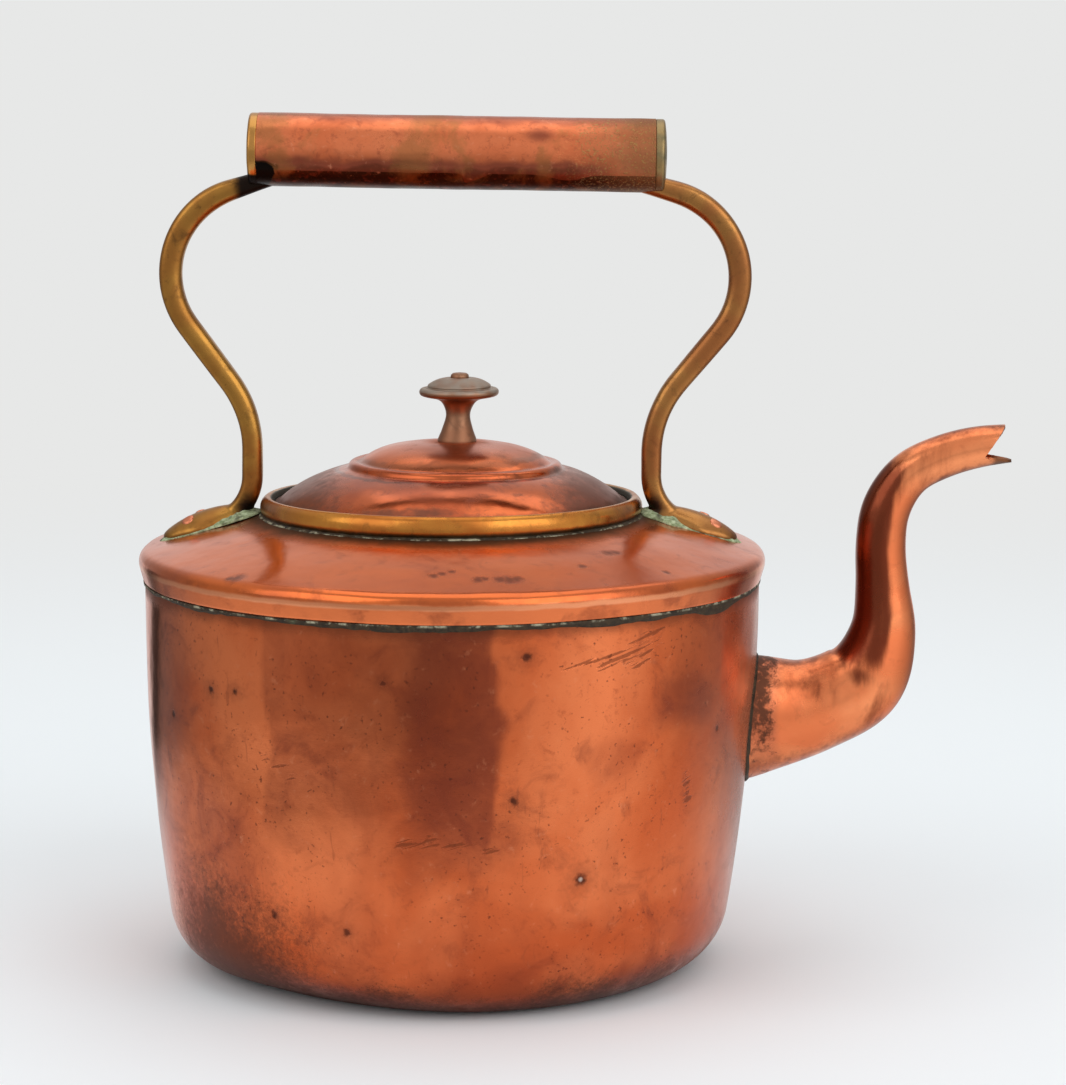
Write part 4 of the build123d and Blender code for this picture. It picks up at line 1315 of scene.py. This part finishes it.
def grip_point(along, radius, angle):
    """Points on the grip, at angle below the front of the tube."""
    lean = HANDLE_LEAN * RAD
    down = radius * np.sin(angle)
    x = GRIP_PLACE[0] + along * math.cos(lean) - down * math.sin(lean)
    z = GRIP_PLACE[1] - along * math.sin(lean) - down * math.cos(lean)
    return np.stack([x, -radius * np.cos(angle), z], axis=-1)


def seam_line(along):
    """Where the lap seam lies along the tube, in degrees below its front, with its torn places."""
    wander = np.array([1.5 * noise.noise(Vector((a / 9, 5.0, 0))) for a in along])
    flap = 17 * np.clip((along - 1.6) / 1.2, 0, 1) * np.clip((11.5 - along) / 8.0, 0, 1)
    return SEAM_ANGLE + wander + flap + 10 * mound(along, 36, 6.0)


def make_grip():
    """The rolled tube of the grip with its lap seam, torn open in two places."""
    along = np.linspace(-GRIP_HALF, GRIP_HALF, 240)[:, None]
    turn = np.linspace(0, 1, 130)[None]
    # From the under layer just past the seam, round the tube and back to the top layer's edge
    angle = np.radians(seam_line(along[:, 0]))[:, None] + TURN * turn
    radius = GRIP_RADIUS + SEAM_STEP * smooth(turn, 0.55, 1.0) + 0 * angle
    along = along + 0 * angle
    tube = grip_point(along, radius, angle)
    uneven = 0.16 * wavy(tube, 22, 51) + 0.07 * wavy(tube, 8, 52)
    lifted = 0.25 * mound(along, 5, 4) * smooth(turn, 0.94, 1.0)
    outer = grip_point(along, radius + uneven + lifted, angle)
    inner = grip_point(along, GRIP_RADIUS - GRIP_SHEET + 0 * radius, angle)
    made = piece("grip_sleeve", np.vstack([outer, inner[::-1]]), "kettle", "grip_tube", 50)
    return stained(made, grip_stain_and_reflection(places(made.data)))


def grip_stain_and_reflection(co):
    """The under layer past the seam with a painted reflection of the dark kettle below, the dull bands and the
    black blot by the rear arm.
    """
    x, y, z = co.T
    middle = GRIP_PLACE[1] - (x - GRIP_PLACE[0]) * math.tan(HANDLE_LEAN * RAD)
    below = np.degrees(np.arctan2(middle - z, -y))
    along = np.linspace(-GRIP_HALF, GRIP_HALF, 261)
    seam = np.interp(x - GRIP_PLACE[0], along, seam_line(along))
    uneven = wavy(co, 9, 53) + 0.5 * wavy(co, 3.5, 54)
    blot = np.hypot((x + 61) / 6.5, (z - 262.5) / 5.5) + 0.4 * uneven
    return np.maximum.reduce([
        # Painted reflection: the under layer past the seam is dark as the mirror image of the kettle below
        0.97 * smooth(below, seam - 0.5, seam + 1.5) * smooth(below + 8 * uneven, 172, 140),
        0.85 * smooth(below + 7 * uneven, -4, 24) * smooth(x, 66, 40),
        0.45 * smooth(below + 10 * uneven, -38, -62),
        0.6 * mound(x, 30, 6) * mound(below, -32, 16),
        1.3 * smooth(blot, 1.5, 0.6),
    ])


def grip_material():
    paint, _ = aged_metal("aged_copper_grip", GRIP_TONES, 131, 20, 6, 0.45, (0.24, 0.4))
    stain = paint.attribute("stain")
    paint.tint(paint.between(stain, 0.15, 0.7), 0.8, (0.22, 0.055, 0.036))
    # Nearly black where the mark is strongest: mostly the painted reflection under the seam
    paint.tint(paint.between(stain, 0.72, 0.97), 1.0, (0.050, 0.017, 0.008))
    mottle = paint.noise(2.6, 5, 0.7, 0.4, seed=15)
    paint.tint(paint.between(mottle, 0.52, 0.68), 0.5, (0.34, 0.075, 0.04))
    paint.tint(paint.between(mottle, 0.42, 0.30), 0.4, (0.90, 0.36, 0.20))
    olive = paint.between(paint.noise(15, 5, 0.6, 0.4, seed=17), 0.50, 0.64)
    paint.tint(olive, 0.55, (0.36, 0.15, 0.05))
    sooty = paint.plus(stain, paint.around_zero(paint.noise(2.5, 5, 0.7, seed=16), 0.5))
    paint.tint(paint.between(sooty, 1.02, 1.10), 1.0, (0.008, 0.006, 0.005))
    # The end by the spout is dull and flecked
    x = paint.plus(paint.xyz()[0], paint.around_zero(paint.noise(6, 4, seed=7), 0.02))
    paint.tint(paint.between(x, 0.036, 0.070), 0.75, (0.25, 0.13, 0.06), rough=0.2)
    flecks = paint.between(paint.noise(0.8, 3, 0.7, seed=8), 0.55, 0.60)
    flecks = paint.times(paint.between(x, 0.034, 0.050), flecks)
    paint.tint(flecks, 0.7, (0.45, 0.26, 0.09))
    paint.carve(flecks, 0.08)
    return paint.done()


# From the cap's shoulder inside the tube round its edge to the middle of its face, as (radius, out)
CAP_EDGE = [(0.05, -6.0), (10.9, -6.0), (10.9, 0.0), (12.0, 0.0), (12.0, 2.4)]
CAP_FACE = [(11.7, 2.85), (11.0, 3.1), (8.0, 3.5), (4.0, 3.75), (0.05, 3.8)]


def make_cap(name, side, replaced):
    """A brass plug that closes one end of the grip."""
    profile = softened(spaced(CAP_EDGE + CAP_FACE, 0.35), 1)
    angle = full_circle(96) + 0 * profile[:, :1]
    rows = grip_point(side * (GRIP_HALF + profile[:, 1:] + 0 * angle), profile[:, :1] + 0 * angle, angle)
    rows[..., 0] += side * 0.12 * wavy(rows, 7, 55 + side) * smooth(profile[:, 1:], -0.5, 1.0)
    made = piece(name, rows, "kettle", replaced, 40, closed=False)
    co = places(made.data)
    if side < 0:
        soot = np.hypot((co[:, 1] + 3) / 9, (co[:, 2] - 259.5) / 5.5) + 0.3 * wavy(co, 4, 58)
        return stained(made, smooth(soot, 1.15, 0.85))
    return stained(made, 0.5 * smooth(co[:, 2] + 3 * wavy(co, 6, 59), 270, 258))


# ---- Knob ----

# Profiles as (radius, height above the crown)
KNOB_STEM = [(6.4, 0.8), (5.0, 4.4), (4.1, 9.6), (5.6, 12.9), (12.2, 15.1)]
KNOB_RIM = [(12.2, 15.1), (13.2, 16.4), (12.2, 17.7)]
KNOB_BUTTON = [(10.2, 18.9), (3.4, 21.1)]
PIN_TOP = [(0.05, 20.6), (2.9, 20.6), (3.0, 21.4), (2.9, 22.1), (2.3, 22.6), (0.05, 22.85)]
PIN_LOW = [(0.05, -3.0), (2.6, -2.9), (3.0, -2.3), (3.0, -2.0), (2.0, -2.0), (2.0, -1.0), (0.05, -1.0)]


def knob_lean(rows):
    """The knob leans a little towards the spout above its foot."""
    moved = rows.copy()
    moved[..., 0] += KNOB_LEAN * np.clip(rows[..., 2] - CROWN, 0, None) + KNOB_OUT
    return moved


def knob_turned(line, step, times, segments):
    profile = softened(spaced(line, step), times)
    return turned(profile + [0, CROWN], segments)


def make_knob():
    foot = [(0.05, -0.7), (6.4, -0.7), (6.5, 0.2)]
    groove = [(10.9, 17.5), (10.2, 17.8), (10.6, 18.4)]
    stem, rim, button = through(KNOB_STEM, 60), circle_through(*KNOB_RIM, 14), bow(*KNOB_BUTTON, 0.6, 20)
    rows = knob_turned(np.vstack([foot, stem, rim, groove, button, [(0.05, 21.0)]]), 0.22, 2, 128)
    rows = knob_lean(outward(rows, 0.06 * wavy(rows, 4, 61)))
    made = piece("lid_knob_turned", rows, "lid", "lid_knob", 42, closed=False)
    co = places(made.data)
    return stained(made, 0.62 * smooth(co[:, 2], CROWN + 15.8, CROWN + 17.2) + 0.3 * wavy(co, 3.0, 62))


def make_knob_pin():
    """Riveted end of the pin on the knob's top and its head under the lid."""
    parts = []
    for line in (PIN_LOW, PIN_TOP):
        rows = knob_turned(line, 0.2, 1, 40)
        hammered = 0.14 * wavy(rows, 2.5, 63) * smooth(rows[..., 2], CROWN + 20, CROWN + 21)
        parts.append(knob_lean(outward(rows, hammered)))
    return finished("knob_pin_ends", mesh_of("knob_pin_ends", parts), "lid", "knob_pin", 45)


# ---- Ring ----


def make_ring():
    """The rounded brass ring round the neck, with the rebate that the lid sits in."""
    foot = (RING_RADIUS - 0.7, cone_height(RING_RADIUS - 0.7))
    belly = (RING_RADIUS + 0.1, cone_height(RING_RADIUS) + 2.8)
    roll = circle_through(foot, belly, (61.3, RING_CREST), 30)
    inner = [(60.2, RING_CREST - 0.15), (59.4, RING_CREST - 0.9), (REBATE, RING_CREST - 2.0)]
    line = np.vstack([roll, inner, [(REBATE, SEAT), (NECK, SEAT), (NECK, cone_height(NECK))]])
    rows = turned(softened(spaced(line, 0.3), 2), 360)
    free = smooth(span(rows), 59.2, 61.5) * smooth(rows[..., 2], 151.6, 153)
    rows = settled(outward(rows, 0.16 * wavy(rows, 14, 71) * free))
    # The roll stands higher at the front than at the back
    upper = smooth(rows[..., 2], 152.5, 155.5) * smooth(span(rows), 59.1, 60.0)
    rows[..., 2] -= (0.1 + rows[..., 1] / 63) * upper
    # Only its outside has sunk; the seat keeps its height
    rows[..., 2] += NECK_DROP * smooth(span(rows - [NECK_SHIFT, 0, 0]), 59.1, 58.9)
    return ring_stain_and_shade(piece("neck_ring_brass", rows, "kettle", "neck_ring", 42))


def ring_stain_and_shade(made):
    """Grime inside the roll and along its foot, and painted shade towards the roll's left and right ends and
    its back.
    """
    co = places(made.data)
    out = span(co - [NECK_SHIFT, 0, 0])
    # Painted shade: the roll darker towards its left and right ends and its back, where it turns away
    side = np.clip(smooth(abs(co[:, 0]), 42, 60) + smooth(co[:, 1], -20, 20), 0, 1)
    grime = smooth(out, 60.8, 59.4) * (0.35 + 0.6 * side)
    stained(made, smooth(out, 60.2, 59.4), "matt")
    return stained(made, np.maximum.reduce([grime, 0.75 * smooth(co[:, 2], 153.2, 151.4), 0.35 * side]))


# ---- Stage ----

FLOOR_SIZE = 30.0
FLOOR_COLOR = (0.90, 0.945, 0.97, 1)
BACKDROP = (0.80, 0.805, 0.80)
# Brightness of what stands round the kettle, by direction in degrees to the right of straight back
FLOOR_AROUND = [
    (-180, 0.46), (-150, 0.44), (-120, 0.54), (-95, 0.46), (-72, 0.36), (-54, 0.26), (-47, 0.04),
    (-40, 0.06), (-33, 0.74), (32, 0.76), (40, 0.26), (55, 0.24), (72, 0.40), (90, 0.60), (122, 0.98),
    (150, 0.80), (180, 0.46),
]
ROOM_AROUND = [
    (-180, 0.70), (-120, 0.58), (-90, 0.44), (-50, 0.30), (-30, 0.38), (-15, 0.78),
    (15, 0.78), (32, 0.40), (60, 0.36), (90, 0.62), (130, 0.88), (160, 0.80), (180, 0.70),
]
OVERHEAD = (0.66, 0.66, 0.66)
# Lamps as (name, place, side of the square, watts), all turned to LAMP_AIM
LAMPS = [
    ("key", (1.5, -1.5, 1.3), 2.0, 16.5),
    ("fill", (-1.6, -1.2, 1.4), 1.8, 10.5),
    ("top", (0.1, 0.4, 1.9), 1.8, 8),
]
LAMP_AIM = (0, 0, 0.12)


def by_direction(paint, x, y, levels):
    """Grey level that changes with direction round the kettle."""
    turn = paint.plus(paint.math("DIVIDE", paint.math("ARCTAN2", x, y), TURN), 0.5)
    grey = paint.node("ValToRGB", {0: turn})[0]
    steps = grey.node.color_ramp.elements
    while len(steps) < len(levels):
        steps.new(0.5)
    for step, (angle, level) in zip(steps, levels):
        step.position = angle / 360 + 0.5
        step.color = (level, level, level, 1)
    return grey


def floor_material():
    """Pale cloth: plain near the kettle, where it takes the shadow. Further off it glows: an even backdrop for
    the camera, and lighter and darker zones round the kettle for the metal to mirror.
    """
    paint = Paint("pale_floor", 0.0)
    for name, value in (("Base Color", FLOOR_COLOR), ("Roughness", 0.9), ("Specular IOR Level", 0.1)):
        paint.feed(paint.shader.inputs[name], value)
    x, y, _ = paint.xyz()
    path = paint.node("LightPath")
    away = paint.node("VectorMath", {0: paint.place}, operation="LENGTH")["Value"]
    seen = paint.plus(path["Is Camera Ray"], path["Is Transmission Ray"], clamp=True)
    mirrored = paint.times(path["Is Glossy Ray"], paint.between(away, 0.15, 0.42))
    share = paint.plus(paint.times(seen, paint.between(away, 0.30, 1.3)), mirrored, clamp=True)
    around = paint.mix(seen, by_direction(paint, x, y, FLOOR_AROUND), BACKDROP)
    glow = paint.node("Emission", {"Color": around})[0]
    joined = paint.node("MixShader", {0: share, 1: paint.shader.outputs[0], 2: glow})[0]
    paint.feed(paint.tree.nodes["Material Output"].inputs["Surface"], joined)
    return paint.material


class Sky(Paint):
    """The world's nodes."""

    def __init__(self, world):
        self.tree = world.node_tree
        self.place = self.node("TexCoord")["Generated"]


def make_camera(scene):
    data = bpy.data.cameras.new("camera")
    data.lens = CAMERA_LENS
    data.sensor_fit = "AUTO"
    data.sensor_width = SENSOR
    data.clip_start, data.clip_end = 0.01, 100
    camera = bpy.data.objects.new("camera", data)
    camera.location = CAMERA_PLACE
    camera.rotation_euler = (CAMERA_TILT * RAD, 0, CAMERA_TURN * RAD)
    scene.collection.objects.link(camera)
    scene.camera = camera


def make_floor(scene):
    corners = [(x * FLOOR_SIZE, y * FLOOR_SIZE, 0) for x, y in ((-1, -1), (1, -1), (1, 1), (-1, 1))]
    mesh = bpy.data.meshes.new("floor")
    mesh.from_pydata(corners, [], [(0, 1, 2, 3)])
    floor = bpy.data.objects.new("floor", mesh)
    scene.collection.objects.link(floor)
    dress(floor, floor_material())


def make_world(scene):
    """Plain pale surroundings for the camera, with lighter and darker zones for the metal to mirror."""
    world = bpy.data.worlds.new("world")
    scene.world = world
    world.use_nodes = True
    sky = Sky(world)
    x, y, z = sky.xyz()
    room = sky.mix(sky.between(z, 0.25, 0.75), by_direction(sky, x, y, ROOM_AROUND), OVERHEAD)
    seen = sky.node("LightPath")["Is Camera Ray"]
    background = world.node_tree.nodes["Background"]
    sky.feed(background.inputs["Color"], sky.mix(seen, room, BACKDROP))
    background.inputs["Strength"].default_value = 1.0


def make_lamps(scene):
    for name, place, side, power in LAMPS:
        data = bpy.data.lights.new(name, "AREA")
        data.shape = "SQUARE"
        data.size = side
        data.energy = power
        lamp = bpy.data.objects.new(name, data)
        lamp.location = place
        lamp.rotation_euler = (Vector(LAMP_AIM) - Vector(place)).to_track_quat("-Z", "Y").to_euler()
        scene.collection.objects.link(lamp)


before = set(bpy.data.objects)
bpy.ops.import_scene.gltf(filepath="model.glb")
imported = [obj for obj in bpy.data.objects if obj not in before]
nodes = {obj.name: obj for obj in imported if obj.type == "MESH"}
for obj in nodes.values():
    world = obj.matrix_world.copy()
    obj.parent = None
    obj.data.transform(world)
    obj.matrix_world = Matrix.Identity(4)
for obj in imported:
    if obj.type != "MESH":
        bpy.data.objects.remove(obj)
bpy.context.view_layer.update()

scene = bpy.context.scene
scene.view_settings.view_transform = "Standard"
make_camera(scene)
make_floor(scene)
make_world(scene)
make_lamps(scene)

solder = solder_material()
tin = aged_metal("old_tinning", TIN_TONES, 71, 25, 9, 0.7, (0.35, 0.55))[0].done()
base_copper = brass_material("aged_copper_base", BASE_TONES, 141, 0.8, (0.4, 0.6))
rivet_copper = brass_material("rivet_copper_old", RIVET_TONES, 151, 0.3)
brazing = brass_material("brazing_old", BRAZING_TONES, 161, 0.6, (0.35, 0.5))
brass = {
    "knob": ("knob_brass_old", KNOB_TONES, 111, 0.45, (0.32, 0.48), (0.40, 0.33, 0.27)),
    "rear": ("arm_brass_old", REAR_ARM_TONES, 91, 0.55, (0.24, 0.4), (0.018, 0.012, 0.009)),
    "front": ("arm_brass_brown", FRONT_ARM_TONES, 95, 0.5, (0.24, 0.4), (0.04, 0.025, 0.018)),
    "yellow": ("cap_brass_yellow", REAR_CAP_TONES, 101, 0.4, (0.22, 0.42), (0.012, 0.009, 0.008)),
    "green": ("cap_brass_green", FRONT_CAP_TONES, 105, 0.6, (0.35, 0.5), (0.15, 0.10, 0.06)),
    "ring": ("ring_brass_old", RING_TONES, 81, 0.4, (0.18, 0.32), (0.085, 0.07, 0.038), True),
}
brass = {key: brass_material(*values) for key, values in brass.items()}

dress(make_body(), body_material())
dress(make_shoulder(), shoulder_material())
dress(make_lid(), lid_material())
dress(make_lip_solder(), solder)
dress(make_ring(), brass["ring"])
dress(make_ring_solder(), solder)
dress(make_collar(), solder)
dress(make_spout(), spout_material())
dress(make_grip(), grip_material())
dress(make_cap("grip_plug_front", 1, "grip_cap_front"), brass["green"])
dress(make_cap("grip_plug_rear", -1, "grip_cap_rear"), brass["yellow"])
dress(make_arm("arm_front", 1, "handle_arm_front"), brass["front"])
dress(make_arm("arm_rear", -1, "handle_arm_rear"), brass["rear"])
dress(make_knob(), brass["knob"])
dress(make_knob_pin(), brass["knob"])
dress(make_rivets(), rivet_copper)
dress(make_foot_solder(), verdigris_material())
dress(nodes["base_plate"], base_copper)
dress(nodes["base_seam"], base_copper)
dress(make_wall_seam(), brazing)
dress(nodes["lid_skirt"], tin)
dress(nodes["knob_washer"], tin)
